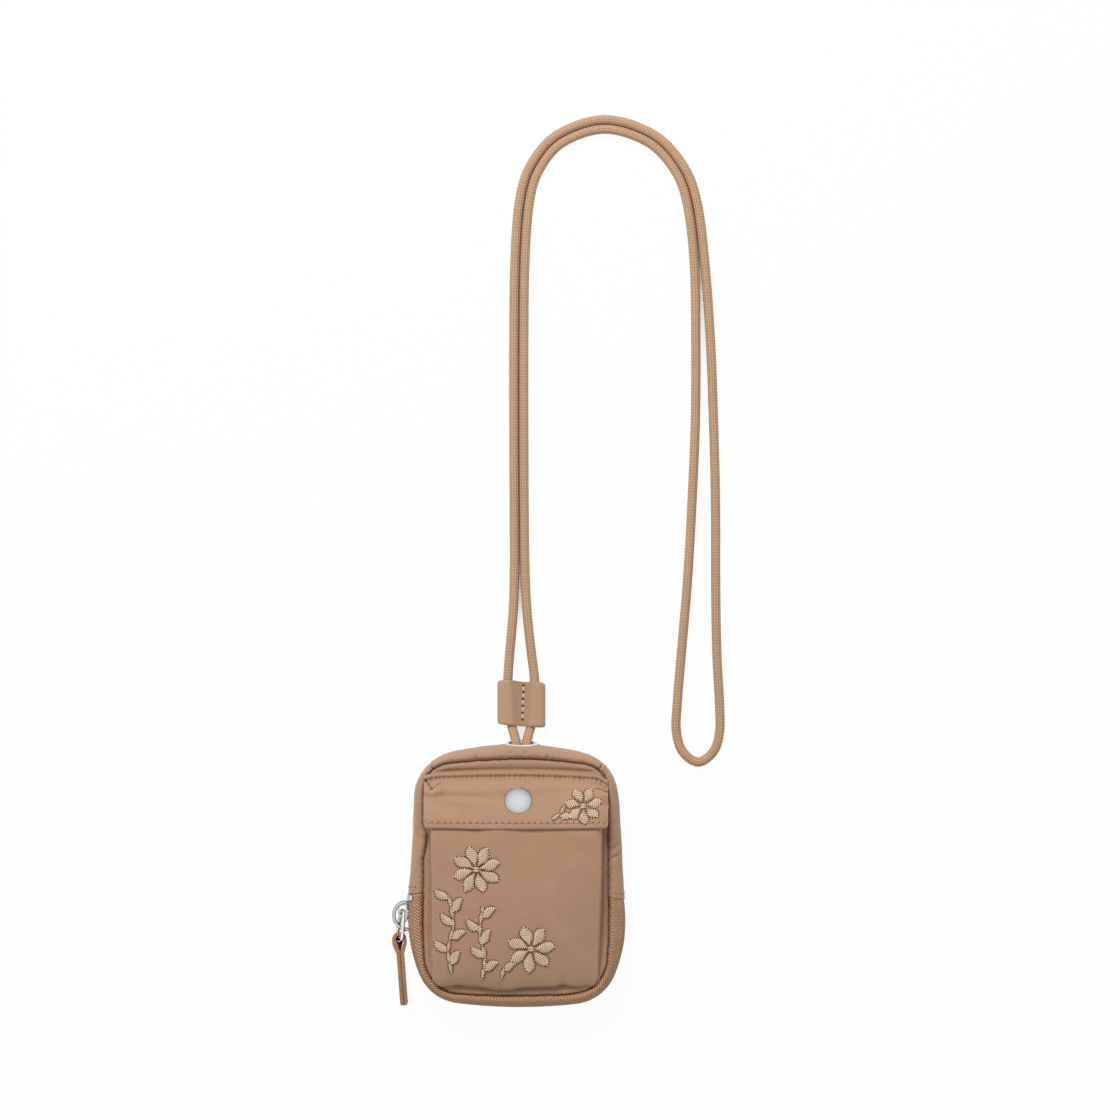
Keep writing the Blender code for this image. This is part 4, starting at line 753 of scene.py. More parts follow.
def sleeve(angles, turns, inset=0.0, wrinkle=1.0):
    """Points round the pouch, for turns from +90 degrees at the front seam to -90 at the back one."""
    seam, body = on_line(SEAM_RADIUS, angles), on_line(BODY_RADIUS, angles, inset)
    flat = bump_at(body[:, 0], EYELET_X, 9 * MM) * (body[:, 1] > 0)
    power = 2 / (SLEEVE_POWER + 2.2 * flat)[None, :]
    out = np.maximum(np.cos(turns), 0.0)[:, None] ** power
    rise = np.sin(turns)[:, None]
    up = np.sign(rise) * np.abs(rise) ** power
    width = np.linalg.norm(body - seam, axis=1)[None, :]
    from_seam = out * width
    flow = run_lengths(body, 0)[None, :]
    swell = SWELL * soft_noise(flow, 14 * MM * np.sin(turns)[:, None], 9 * MM, 3.1)
    pucker = np.sin(TAU * flow / (3.1 * MM) + 2.4 * np.sin(flow / (7.3 * MM)))
    swell = swell + SEAM_PUCKER * pucker * np.exp(-from_seam / (1.6 * MM)) * ease(from_seam, 0.0, 0.8 * MM)
    share = 0.5 - turns[:, None] / math.pi
    for degrees, slant, depth, breadth, length in CREASES:
        start = np.interp(math.radians(degrees), *sorted_pair(angles, flow[0]))
        line = start + slant * MM * (share * 4 - 0.6)
        hold = ease(share, 0.0, 0.05) * (1 - ease(share, 0.4 * length, 1.1 * length))
        swell = swell - depth * MM * bump_at(flow, line, breadth * MM) * hold
        swell = swell + 0.2 * depth * MM * bump_at(flow, line + 1.7 * breadth * MM, 1.3 * breadth * MM) * hold
    away = (body - seam) / np.maximum(width[0][:, None], 1e-9)
    xy = seam[None] + (body - seam)[None] * out[..., None]
    xy = xy + away[None] * (wrinkle * swell * np.cos(turns)[:, None])[..., None]
    z = MID_Z + HALF_DEPTH * up - TUCK * np.sign(up) * np.exp(-(from_seam / TUCK_WIDTH) ** 2)
    z = z + wrinkle * swell * np.sin(turns)[:, None]
    z = z + ease(up, 0.0, 0.7) * PUFF * (from_seam / PUFF_AT) * np.exp(1 - from_seam / PUFF_AT)
    reach = np.hypot(xy[..., 0] - EYELET_X, z - MID_Z)
    hold = (1 - ease(reach, EYELET_FLANGE - 0.6 * MM, EYELET_FLANGE + 2.2 * MM)) * (xy[..., 1] > 0)
    hold = hold * ease(from_seam, 0.8 * MM, 2.4 * MM)
    seat = EYELET_Y - 0.35 * MM - (z - MID_Z) * math.tan(EYELET_LEAN)
    xy[..., 1] += hold * (seat - xy[..., 1])
    return np.concatenate([xy, z[..., None]], axis=-1)


def sorted_pair(angles, values):
    """Two lists in rising order of the first, as np.interp wants them."""
    order = np.argsort(angles)
    return angles[order], values[order]


def seam_turns(start, end, count):
    """Turns of the sleeve, closest together at its two seams, for shares from 1 at the front to -1."""
    share = np.linspace(start, end, count)
    return np.sign(share) * (1 - (1 - np.abs(share)) ** 2) * math.pi / 2


# %% Gusset and zip tapes
gusset_angles = crowded(ZIP_LEFT, ZIP_RIGHT, 620, [crease[0] for crease in CREASES[:4]], 2.2, 3.0)
gusset_turns = seam_turns(1.0, -1.0, 55)
gusset_grid = sleeve(gusset_angles, gusset_turns, fit(GUSSET_FIT, gusset_angles))
gusset = skin("gusset_cloth", gusset_grid[::-1], NYLON)
shape = bmesh.new()
shape.from_mesh(gusset.data)
inside = [v for v in shape.verts
          if v.co.y > 0 and math.hypot(v.co.x - EYELET_X, v.co.z - MID_Z) < EYELET_BORE]
bmesh.ops.delete(shape, geom=inside, context="VERTS")
shape.to_mesh(gusset.data)
shape.free()
thicken(gusset, CLOTH_THICK)
dress(gusset, "pouch", "nylon", "upper_gusset")

tapes, tape_grids = [], []
tape_angles = np.linspace(ZIP_LEFT - math.radians(0.6), TAU + ZIP_RIGHT + math.radians(0.6), 520)
TAPE_EDGE = 0.075
for name, node, start, end in (
    ("zip_tape_twill_front", "zip_tape_front", 1.0, TAPE_EDGE),
    ("zip_tape_twill_back", "zip_tape_back", -TAPE_EDGE, -1.0),
):
    grid = sleeve(tape_angles, seam_turns(start, end, 34), fit(TAPE_FIT, tape_angles), 0.25)
    tapes.append(thicken(skin(name, grid, TWILL), TAPE_THICK))
    tape_grids.append(grid)
    dress(tapes[-1], "pouch", "zip_tape", node)
print("gusset and tapes:", len(gusset.data.polygons), "faces in the gusset")

# %% [markdown]
# ## Front and back panels
# Each panel is a flat cut with round corners. Its edge turns down into the seam, which leaves the dark
# groove round the pouch. The panel is drawn as rings that shrink from the seam to the middle, with most
# rings near the edge where the shape changes.

# %% Panels
# Millimetres inwards from the seam
PANEL_RINGS = [0.0, 0.1, 0.2, 0.32, 0.46, 0.62, 0.85, 1.15, 1.6, 2.2, 2.7, 3.2, 3.6, 4.0, 4.4, 4.8, 5.3,
               6.0, 7.0, 9.0, 14.0, 21.0, 29.0, 37.0]
BACK_Z = 0.35 * MM
PANEL_DENT = 0.8 * MM
SEAM_DROP = 2.6 * MM


def panel(name, level, facing):
    """A panel at a level, facing forwards (1) or backwards (-1), turned into the seam at its edge."""
    angles = np.linspace(0.0, TAU, 720, endpoint=False)
    seam = on_line(SEAM_RADIUS, angles)
    length = np.linalg.norm(seam, axis=1)
    rows = []
    for inset in PANEL_RINGS:
        xy = seam * ((length - inset * MM) / length)[:, None]
        drop = SEAM_DROP * math.exp(-(inset / 0.5) ** 2) + 0.45 * MM * math.exp(-inset / 1.2)
        crown = 0.4 * MM * math.exp(-((inset - 2.1) / 1.2) ** 2)
        crown -= 0.25 * MM * math.exp(-((inset - 5) / 2) ** 2)
        flow = run_lengths(xy, 0)
        pucker = SEAM_PUCKER * np.sin(TAU * flow / (2.9 * MM) + 2.0 * np.sin(flow / (8.1 * MM)))
        pucker = pucker * math.exp(-inset / 1.6) * (1 - math.exp(-inset / 0.3))
        above_flap = bump_at(xy[:, 1], 48.9 * MM - 1.3 * MM * (xy[:, 0] / (40 * MM)) ** 2, 0.75 * MM)
        dent = PANEL_DENT * above_flap * (1 - ease(np.abs(xy[:, 0]), 36 * MM, 44 * MM)) * (facing > 0)
        rows.append(np.concatenate([xy, (level + facing * (crown - drop + pucker) - dent)[:, None]], axis=1))
    middle = np.zeros_like(rows[0])
    middle[:, 2] = rows[-1][:, 2].mean()
    grid = np.stack(rows + [middle])
    piece = skin(name, grid if facing > 0 else grid[:, ::-1], NYLON, wrap=True, run=flat_run(grid, facing))
    shape = bmesh.new()
    shape.from_mesh(piece.data)
    bmesh.ops.remove_doubles(shape, verts=shape.verts, dist=1e-7)
    bmesh.ops.recalc_face_normals(shape, faces=shape.faces)
    shape.to_mesh(piece.data)
    shape.free()
    return thicken(piece, CLOTH_THICK)


def flat_run(grid, facing):
    """A map that is simply x and y, for a sheet that lies flat."""
    closed = np.concatenate([grid, grid[:, :1]], axis=1)
    return (closed if facing > 0 else closed[:, ::-1])[..., :2]


front_panel = panel("front_cloth", FRONT_Z, 1.0)
dress(front_panel, "pouch", "nylon", "front_panel")
back_panel = panel("back_cloth", BACK_Z, -1.0)
dress(back_panel, "pouch", "nylon", "back_panel")
print("panels", [len(piece.data.polygons) for piece in (front_panel, back_panel)])

# %% [markdown]
# ## Pocket and bellows
# The front pocket is a patch of nylon on a folded strip that lets it stand away from the pouch. Its
# mouth is pulled in under the flap, so its middle stands out most just below the flap's hem. The patch
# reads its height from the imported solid, then gets what a solid can't have: a crown from side to side,
# an edge that turns under, and the soft unevenness of thin nylon.

# %% Shape of the pocket


def cad_heights(node, x, levels):
    """Heights of a node's upper face along a line up the pouch, smoothed over its facets."""
    solid = NODES[node]
    corners = [vertex.co for vertex in solid.data.vertices]
    tree = BVHTree.FromPolygons(corners, [face.vertices for face in solid.data.polygons])
    found = []
    for y in levels:
        spot, *_ = tree.ray_cast(Vector((x, y, 1.0)), Vector((0.0, 0.0, -1.0)))
        found.append(spot.z if spot else found[-1] if found else np.nan)
    found = np.array(found)
    found[np.isnan(found)] = found[~np.isnan(found)][0]
    window = np.exp(-np.linspace(-2, 2, 9) ** 2)
    padded = np.concatenate([[found[0]] * 4, found, [found[-1]] * 4])
    return np.convolve(padded, window / window.sum(), mode="valid")


POCKET_LOW, POCKET_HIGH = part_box("pocket_panel")
POCKET_CORNER = 5.0 * MM
POCKET_THICK = 0.7 * MM
POCKET_TOP_HALF = 39.6 * MM
POCKET_LOW_HALF = 37.9 * MM
POCKET_CROWN = 3.0 * MM
POCKET_SLUMP = 2.6 * MM
BOTTOM_DROP = 1.1 * MM
EDGE_TURN = 1.3 * MM
EDGE_RIDGE = 0.14 * MM
FLAP_MEET = 1.5 * MM
LEFT_LOWER = 0.8 * MM
# Each pinch of the bottom edge: its place from left to right and its depth, in millimetres
PINCHES = [(22.0, 0.9), (-6.5, 0.8), (9.0, 0.35), (-24.0, 0.4)]
PINCH_WIDTH = 1.1 * MM
pocket_levels = np.linspace(POCKET_LOW.y, POCKET_HIGH.y, 200)
pocket_profile = cad_heights("pocket_panel", 20 * MM, pocket_levels)
STUD_LOW, STUD_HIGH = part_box("snap_stud")
STUD = (STUD_LOW + STUD_HIGH) / 2


def pocket_half_width(y):
    """Half the pocket's width, less in its round lower corners."""
    climb = (y - POCKET_LOW.y) / (POCKET_HIGH.y - POCKET_LOW.y)
    plain = POCKET_LOW_HALF + (POCKET_TOP_HALF - POCKET_LOW_HALF) * climb
    into = np.clip(POCKET_LOW.y + POCKET_CORNER - y, 0.0, POCKET_CORNER)
    return plain - POCKET_CORNER + np.sqrt(POCKET_CORNER ** 2 - into ** 2)


def pocket_shift(y):
    """How far the pocket sits to the right at a level."""
    return 0.4 * MM * bump_at(y, -4 * MM, 25 * MM)


def pocket_slump(x, y):
    """How far the pocket's empty lower right corner falls in."""
    return POCKET_SLUMP * ease(x, 16 * MM, 42 * MM) * np.clip((2 * MM - y) / (34 * MM), 0.0, 1.0)


def bottom_drop(y):
    """How far the pocket comes down towards its bottom edge."""
    return BOTTOM_DROP * np.exp(-(y - POCKET_LOW.y) / (3 * MM))


def pocket_top(x, y):
    """Height of the pocket's outer face: crowned, turned under at its edges and a little uneven."""
    side = np.maximum(pocket_half_width(y) - np.abs(x), 0.0)
    edge = np.minimum(side, np.maximum(y - POCKET_LOW.y, 0.0))
    climb = np.clip((y - POCKET_LOW.y) / (26 * MM), 0.0, 1.0)
    crown = POCKET_CROWN * (1 - (x / (43 * MM)) ** 4) * (1 - (1 - climb) ** 2)
    crown = crown * (1 - 0.6 * ease(y, -16 * MM, 20 * MM)) - pocket_slump(x, y) - bottom_drop(y)
    turn = EDGE_TURN * np.exp(-(edge / (0.4 * MM)) ** 1.4) - EDGE_RIDGE * bump_at(edge, 0.9 * MM, 0.5 * MM)
    uneven = 0.42 * MM * soft_noise(x, 0.6 * y, 17 * MM, 5.7) + 0.16 * MM * soft_noise(x, y, 6 * MM, 1.3)
    drag = 0.5 * MM * bump_at(x + 0.7 * y, 2 * MM, 5 * MM) * ease(-y, 10 * MM, 40 * MM)
    pinch = sum(depth * MM * bump_at(x, at * MM, PINCH_WIDTH) * np.exp(-(y - POCKET_LOW.y) / (3.2 * MM))
                for at, depth in PINCHES)
    open_at = bump_at(x, -20 * MM, 5.5 * MM) + 0.7 * bump_at(x, 6 * MM, 10 * MM)
    meet = (FLAP_MEET - LEFT_LOWER * ease(-x, 14 * MM, 26 * MM)) * (1 - 0.75 * open_at)
    meet = meet * bump_at(y, 23 * MM, 8 * MM) * ease(side, 0.0, 2.5 * MM)
    seat = np.interp(y, pocket_levels, pocket_profile)
    height = seat + meet + crown - turn + uneven * ease(edge, 0.0, 5 * MM) + drag - pinch
    held = 1 - ease(np.hypot(x - STUD.x, y - STUD.y), 4 * MM, 9 * MM)
    return height + held * (seat - height)


# %% Pocket sheet
POCKET_COLUMNS = 171
rows = []
shares = np.sin(np.linspace(-math.pi / 2, math.pi / 2, POCKET_COLUMNS))
shares = 0.75 * shares + 0.25 * np.linspace(-1, 1, POCKET_COLUMNS)
level_steps = np.concatenate([
    POCKET_LOW.y + np.array([0.0, 0.15, 0.4, 0.8, 1.3, 1.9, 2.6, 3.4, 4.2, 5.0]) * MM,
    np.linspace(POCKET_LOW.y + 5.7 * MM, POCKET_HIGH.y, 120)])
for y in level_steps:
    x = shares * float(pocket_half_width(np.array(y)))
    hang = 1.3 * MM * bump_at(x, -6 * MM, 8 * MM) - 0.9 * MM * bump_at(x, -25 * MM, 9 * MM)
    hang = hang - 0.8 * MM * bump_at(x, 22 * MM, 6 * MM)
    hang = hang + 0.5 * MM * soft_noise(x, 0.0, 5 * MM, 2.2)
    sag = y - hang * math.exp(-(y - POCKET_LOW.y) / (4 * MM))
    rows.append(np.stack([x + pocket_shift(y), sag, pocket_top(x, np.full_like(x, y))], axis=-1))
pocket_grid = np.stack(rows)
pocket = thicken(skin("pocket_cloth", pocket_grid, NYLON, run=pocket_grid[..., :2]), POCKET_THICK)
dress(pocket, "pouch", "nylon", "pocket_panel")
print("pocket", len(pocket.data.polygons), "faces")

# %% [markdown]
# The bellows is the strip between the pocket's edge and the front panel, folded inwards once so that the
# pocket can lie nearly flat. Its line is the pocket's own outline, so the two edges always meet. In two
# places along the bottom the fold has popped outwards.

# %% Bellows side
BELLOWS_STEPS = 60
BELLOWS_THICK = 0.5 * MM
FOLD_IN = 2.2 * MM
POKE_OUT = 2.7 * MM


def bellows_grid():
    """A folded strip from the front panel up to the pocket's edge, in and out again once."""
    levels = np.concatenate([
        POCKET_LOW.y + POCKET_CORNER * (1 - np.cos(np.linspace(0, math.pi / 2, 14)))[:-1],
        np.linspace(POCKET_LOW.y + POCKET_CORNER, POCKET_HIGH.y - 3.0 * MM, BELLOWS_STEPS)])
    right = np.stack([pocket_half_width(levels), levels], axis=-1)
    left = right[::-1] * np.array([-1.0, 1.0])
    line = np.concatenate([left, right])
    low = FRONT_Z + 0.3 * MM
    high = np.interp(line[:, 1], pocket_levels, pocket_profile) - 1.9 * MM
    high = high - pocket_slump(line[:, 0], line[:, 1])
    high = high - bottom_drop(line[:, 1])
    line = line + np.stack([pocket_shift(line[:, 1]), np.zeros(len(line))], axis=-1)
    centre = np.stack([np.zeros(len(line)), np.maximum(line[:, 1], POCKET_LOW.y + POCKET_CORNER)], axis=-1)
    inward = centre - line
    inward /= np.linalg.norm(inward, axis=1, keepdims=True)
    rows = []
    for share in np.linspace(0.0, 1.0, 17):
        height = np.maximum(high - low, 0.3 * MM)
        bulge = math.sin(math.pi * share)
        fold = np.minimum(FOLD_IN, 0.4 * height) * bulge ** 0.8 - 1.1 * MM * (1 - share) ** 3
        poke = POKE_OUT * bump_at(line[:, 0], -21 * MM, 11 * MM)
        poke = poke + 1.5 * MM * bump_at(line[:, 0], 22 * MM, 7 * MM)
        poke = poke * ease(POCKET_LOW.y + 3 * MM - line[:, 1], 0.0, 3 * MM) * bulge ** 2
        xy = line + inward * (fold * (1 - poke / POKE_OUT) + 0.3 * MM - poke)[:, None]
        rows.append(np.concatenate([xy, (low + height * share)[:, None]], axis=1))
    return np.stack(rows)


bellows = thicken(skin("pocket_bellows_cloth", bellows_grid(), NYLON), BELLOWS_THICK)
dress(bellows, "pouch", "nylon", "pocket_bellows")
print("bellows", len(bellows.data.polygons), "faces")

# %% [markdown]
# ## Flap
# The flap is sewn to the front panel along its top with its raw edge rolled under, which gives a narrow
# ridge and a row of puckers at the needle holes. From there it slopes up over the mouth of the pocket to
# a folded hem. It is one sheet.

# %% Shape of the flap
FLAP_LOW, FLAP_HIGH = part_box("flap_outer")
FLAP_SEAM = FLAP_HIGH.y
FLAP_HALF = 42.3 * MM
FLAP_RIDGE = 2.3 * MM
FLAP_THICK = 1.1 * MM
RIDGE_MIDDLE = 0.9 * MM
RIDGE_HALF = 1.35 * MM
RIDGE_SEAT = 0.2 * MM
RIDGE_RISE = 1.15 * MM
END_TURN = 1.9 * MM
HEM_LINE = FLAP_LOW.y + 2.75 * MM
STITCH_PITCH = 2.94 * MM
STITCH_DENT = 0.28 * MM
HEM_ROLL = 0.55 * MM
HEM_SAG = 0.6 * MM
HEM_TURN = 0.45 * MM
PUCKER_PITCH = 2.2 * MM
PUCKER_DRIFT = 1.2 * MM
PUCKER_LEAST = 0.25 * MM
PUCKER_DEPTH = 0.95 * MM
PUCKER_SWELL = 0.35 * MM
flap_levels = np.linspace(FLAP_LOW.y, FLAP_SEAM, 160)
flap_profile = cad_heights("flap_outer", 20 * MM, flap_levels)
# Each fold line: its two ends and its depth and width, in millimetres
FLAP_FOLDS = [
    ((-41.2, 45.6), (-38.6, 40.6), 2.6, 0.42), ((-38.6, 40.6), (-34.6, 43.0), 1.1, 0.6),
    ((-42.0, 37.0), (-40.8, 36.4), 1.2, 1.6), ((35.0, 43.4), (41.6, 43.9), 0.9, 0.5),
    ((36.4, 41.0), (42.2, 41.2), 0.9, 0.55), ((39.8, 33.6), (41.8, 32.4), 1.0, 1.3),
    ((-38.0, 38.6), (-35.0, 40.0), -0.9, 1.8), ((40.6, 38.4), (42.0, 38.0), -0.9, 1.7),
    ((37.0, 42.2), (42.0, 42.5), -0.5, 0.7), ((-33.0, 37.6), (-14.0, 36.4), 0.28, 1.3),
    ((-31.0, 34.4), (-12.0, 33.6), -0.25, 1.6), ((14.0, 38.8), (30.0, 40.2), 0.25, 1.4),
    ((-34.0, 39.8), (12.0, 40.0), -0.35, 1.9), ((-36.0, 36.4), (-2.0, 36.0), 0.25, 1.5),
    ((-42.0, 38.0), (-30.0, 33.0), 1.0, 4.0),
]


def seam_droop(x):
    """How far the flap's seam drops from its middle towards its two ends."""
    arch = np.where(x < 0, 1.0, 1.6) * MM * (x / (40 * MM)) ** 2
    return arch + np.where(x < 0, 1.0, 2.4) * MM * ease(np.abs(x), 35 * MM, 43 * MM) ** 1.5


def fold_line(x, y, start, end, width):
    """1 on a straight line between two places in millimetres, falling to 0 over a width beside it."""
    start, along = np.array(start) * MM, (np.array(end) - np.array(start)) * MM
    share = np.clip(((x - start[0]) * along[0] + (y - start[1]) * along[1]) / (along @ along), 0.0, 1.0)
    away = np.hypot(x - start[0] - share * along[0], y - start[1] - share * along[1])
    return bump_at(away, 0.0, width * MM)


def flap_ridge(above):
    """Height of the rolled edge, for some distances above the seam."""
    roll = np.sqrt(np.clip(1 - ((above - RIDGE_MIDDLE) / RIDGE_HALF) ** 2, 0.0, 1.0))
    return FRONT_Z + RIDGE_SEAT + RIDGE_RISE * roll


def flap_puckers(x, level):
    """What the thread pulls in and pushes out below the seam, more in some places than in others."""
    strength = 0.75 + 0.6 * soft_noise(x, 0.0, 4.5 * MM, 6.1)
    drift = PUCKER_DRIFT * soft_noise(x, 0.0, 7 * MM, 9.4)
    scallop = strength * (0.5 + 0.5 * np.cos(TAU * (x + drift) / PUCKER_PITCH))
    pulled = (PUCKER_LEAST + PUCKER_DEPTH * scallop) * bump_at(level, FLAP_SEAM - 0.4 * MM, 0.9 * MM)
    pushed = PUCKER_SWELL * (1 - scallop) * bump_at(level, FLAP_SEAM - 1.7 * MM, 1.2 * MM)
    return pushed - pulled


def flap_hem(x, level):
    """How far the flap comes down at its hem: a rolled edge, a soft sag and a dent at each stitch."""
    needle = 0.5 + 0.5 * np.cos(TAU * x / STITCH_PITCH)
    drop = STITCH_DENT * needle * bump_at(level, HEM_LINE, 0.5 * MM)
    drop = drop + HEM_ROLL * np.exp(-((level - FLAP_LOW.y) / (0.5 * MM)) ** 1.5)
    drop = drop + HEM_SAG * ease(FLAP_LOW.y + 9 * MM - level, 0.0, 9 * MM) ** 2
    drop = drop + HEM_TURN * ease(FLAP_LOW.y + 4.5 * MM - level, 0.0, 4.5 * MM)
    lower = np.clip((36 * MM - level) / (14 * MM), 0.0, 1.0)
    return drop + LEFT_LOWER * ease(-x, 14 * MM, 26 * MM) * lower


def flap_top(x, level):
    """Height of the flap's outer face at a level, which is y before the seam's ends droop."""
    above = level - FLAP_SEAM
    height = np.where(above > 0, flap_ridge(above), np.interp(level, flap_levels, flap_profile))
    height = height + flap_puckers(x, level) - flap_hem(x, level)
    end = np.maximum(FLAP_HALF - np.abs(x), 0.0)
    height = height - END_TURN * np.exp(-(end / (2.4 * MM)) ** 1.5) * ease(-above, 0.0, 6 * MM)
    uneven = 0.4 * MM * soft_noise(0.7 * x, 1.6 * level, 11 * MM, 8.2)
    tent = 0.35 * MM * bump_at(x, 0.6 * MM, 1.6 * MM) * ease(level, 38 * MM, 41 * MM) * (above < -1.5 * MM)
    folds = sum(depth * MM * fold_line(x, level, start, end, width)
                for start, end, depth, width in FLAP_FOLDS)
    return height + uneven * ease(-above, 1 * MM, 6 * MM) + tent - folds


# %% Flap sheet
flap_rows = np.concatenate([
    FLAP_LOW.y + np.array([0.0, 0.12, 0.3, 0.6, 1.0, 1.5]) * MM,
    np.linspace(FLAP_LOW.y + 2.0 * MM, FLAP_SEAM - 5 * MM, 56),
    np.linspace(FLAP_SEAM - 4.7 * MM, FLAP_SEAM + FLAP_RIDGE, 30)])
flap_columns = np.concatenate([
    np.linspace(-1.0, -0.8, 70), np.linspace(-0.79, 0.79, 230), np.linspace(0.8, 1.0, 70)])
rows = []
for level in flap_rows:
    into = max(0.0, FLAP_LOW.y + 2.5 * MM - level) / (2.5 * MM)
    reach = FLAP_HALF - 1.6 * MM * (1 - math.sqrt(1 - into ** 2))
    x = flap_columns * reach
    sag = 0.5 * MM * np.cos(x / FLAP_HALF * math.pi * 0.5) * ease(FLAP_LOW.y + 10 * MM - level, 0.0, 10 * MM)
    y = level - seam_droop(x) * ease(level, FLAP_SEAM - 12 * MM, FLAP_SEAM) - sag
    rows.append(np.stack([x, y, flap_top(x, np.full_like(x, level))], axis=-1))
flap_grid = np.stack(rows)
flap = thicken(skin("flap_cloth", flap_grid, NYLON), FLAP_THICK)
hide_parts("flap_outer", "flap_facing")
print("flap", len(flap.data.polygons), "faces")

# %% [markdown]
# ## Rows of stitches
# A lockstitch shows as short stitches end to end, each diving into a needle hole. One node tree lays any
# row: it takes a line with an up direction, cuts it into even steps, and sets one small stitch on each.
# The same tree with other sizes or another shape makes the needle holes, as dark marks of painted shade,
# and the zip's loops, because all of them follow a path.

# %% Node tree that sets shapes along a path


def shape_tree(name, sockets):
    """A new node tree whose inputs end with a shape and a finish, and whose result is geometry."""
    tree = bpy.data.node_groups.new(name, "GeometryNodeTree")
    for label, kind in sockets + [("Shape", "Object"), ("Finish", "Material")]:
        tree.interface.new_socket(label, in_out="INPUT", socket_type="NodeSocket" + kind)
    tree.interface.new_socket("Result", in_out="OUTPUT", socket_type="NodeSocketGeometry")
    net = Net(tree)
    return net, net.add("NodeGroupInput").outputs


def carried(net, name, kind="FLOAT_VECTOR"):
    """What each point of the mesh carries under a name."""
    return net.add("GeometryNodeInputNamedAttribute", {"Name": name}, data_type=kind).outputs[0]


def set_shapes(net, given, points, along, size):
    """Ends a tree: the shape on every point, laid along one direction and up another, in its finish."""
    turn = net.add("FunctionNodeAxesToRotation", {0: along, 1: carried(net, "up")},
                   primary_axis="X", secondary_axis="Z").outputs[0]
    shape = net.add("GeometryNodeObjectInfo", {"Object": given["Shape"]}).outputs["Geometry"]
    placed = net.add("GeometryNodeInstanceOnPoints", {
        "Points": points, "Instance": shape, "Rotation": turn, "Scale": size}).outputs[0]
    real = net.add("GeometryNodeRealizeInstances", {0: placed}).outputs[0]
    finished = net.add("GeometryNodeSetMaterial", {"Geometry": real, "Material": given["Finish"]})
    net.put(finished.outputs[0], net.add("NodeGroupOutput").inputs["Result"])
    return net.tree


def path_tree():
    """Lines cut into even steps, with a shape on each step."""
    net, given = shape_tree("shapes along a path", [
        ("Path", "Geometry"), ("Pitch", "Float"), ("Size", "Vector"), ("Uneven", "Float")])
    line = net.add("GeometryNodeMeshToCurve", {"Mesh": given["Path"]}).outputs[0]
    even = net.add("GeometryNodeResampleCurve", {"Curve": line, "Length": given["Pitch"]}, mode="LENGTH")
    tangent = net.add("GeometryNodeInputTangent").outputs[0]
    dice = net.add("FunctionNodeRandomValue", {
        2: net.maths("SUBTRACT", 1.0, given["Uneven"]), 3: net.maths("ADD", 1.0, given["Uneven"]),
        "Seed": 7}, data_type="FLOAT")
    size = dimmed(net, given["Size"], dice.outputs[1])
    return set_shapes(net, given, even.outputs[0], tangent, size)


def grow(name, mesh, tree, values, material):
    """Runs a node tree on a mesh and keeps what it makes as a plain piece."""
    source = bpy.data.objects.new(name + "_source", mesh)
    scene.collection.objects.link(source)
    modifier = source.modifiers.new("nodes", "NODES")
    modifier.node_group = tree
    labels = {item.name: item.identifier for item in tree.interface.items_tree if item.in_out == "INPUT"}
    for label, value in values.items():
        modifier[labels[label]] = value
    modifier[labels["Finish"]] = material
    graph = bpy.context.evaluated_depsgraph_get()
    made = bpy.data.meshes.new_from_object(source.evaluated_get(graph), depsgraph=graph)
    made.name = name
    bpy.data.objects.remove(source, do_unlink=True)
    return add_piece(name, made, material)


# %% Stitch and the lines that it follows


def path_mesh(name, lines, ups):
    """Lines of points, with an up direction at each, as one mesh of edges."""
    mesh = bpy.data.meshes.new(name + "_lines")
    edges, first = [], 0
    for line in lines:
        edges += [(first + index, first + index + 1) for index in range(len(line) - 1)]
        first += len(line)
    mesh.from_pydata(np.concatenate(lines).tolist(), edges, [])
    upward = mesh.attributes.new("up", "FLOAT_VECTOR", "POINT")
    upward.data.foreach_set("vector", np.concatenate(ups).astype(np.float32).ravel())
    return mesh


def hidden_shape(name, spots, sides, closed=False, ends=()):
    """A small shape of rings joined side by side, which only the node trees use."""
    rings = len(spots) // sides
    faces = []
    for step in range(rings if closed else rings - 1):
        here, after = step * sides, (step + 1) % rings * sides
        for side in range(sides):
            following = (side + 1) % sides
            faces.append((here + side, after + side, after + following, here + following))
    mesh = bpy.data.meshes.new(name)
    mesh.from_pydata(spots, [], faces + list(ends))
    mesh.shade_smooth()
    return bpy.data.objects.new(name, mesh)


def stitch_shape(rings=5, sides=6):
    """A lying pill one unit long and one wide, thin at its ends."""
    spots = []
    for step in range(rings):
        share = step / (rings - 1)
        girth = 0.5 * (0.25 + 0.75 * math.sin(math.pi * share) ** 0.6)
        dive = -0.35 * (2 * share - 1) ** 2
        for side in range(sides):
            turn = TAU * side / sides
            spots.append((share - 0.5, girth * math.cos(turn), girth * math.sin(turn) + dive))
    last = (rings - 1) * sides
    ends = [tuple(range(sides)), tuple(range(last, last + sides))[::-1]]
    return hidden_shape("stitch_shape", spots, sides, ends=ends)


def surface_line(piece, xs, ys, lift):
    """A line dropped on a piece from above, with the piece's own normal at each point."""
    graph = bpy.context.evaluated_depsgraph_get()
    tree = BVHTree.FromObject(piece, graph)
    spots, ups = [], []
    for x, y in zip(xs, ys):
        spot, normal, *_ = tree.ray_cast(Vector((x, y, 1.0)), Vector((0.0, 0.0, -1.0)))
        if spot is None:
            continue
        spots.append(spot + normal * lift)
        ups.append(normal)
    return np.array(spots), np.array(ups)


ALONG_PATH = path_tree()
STITCH = stitch_shape()


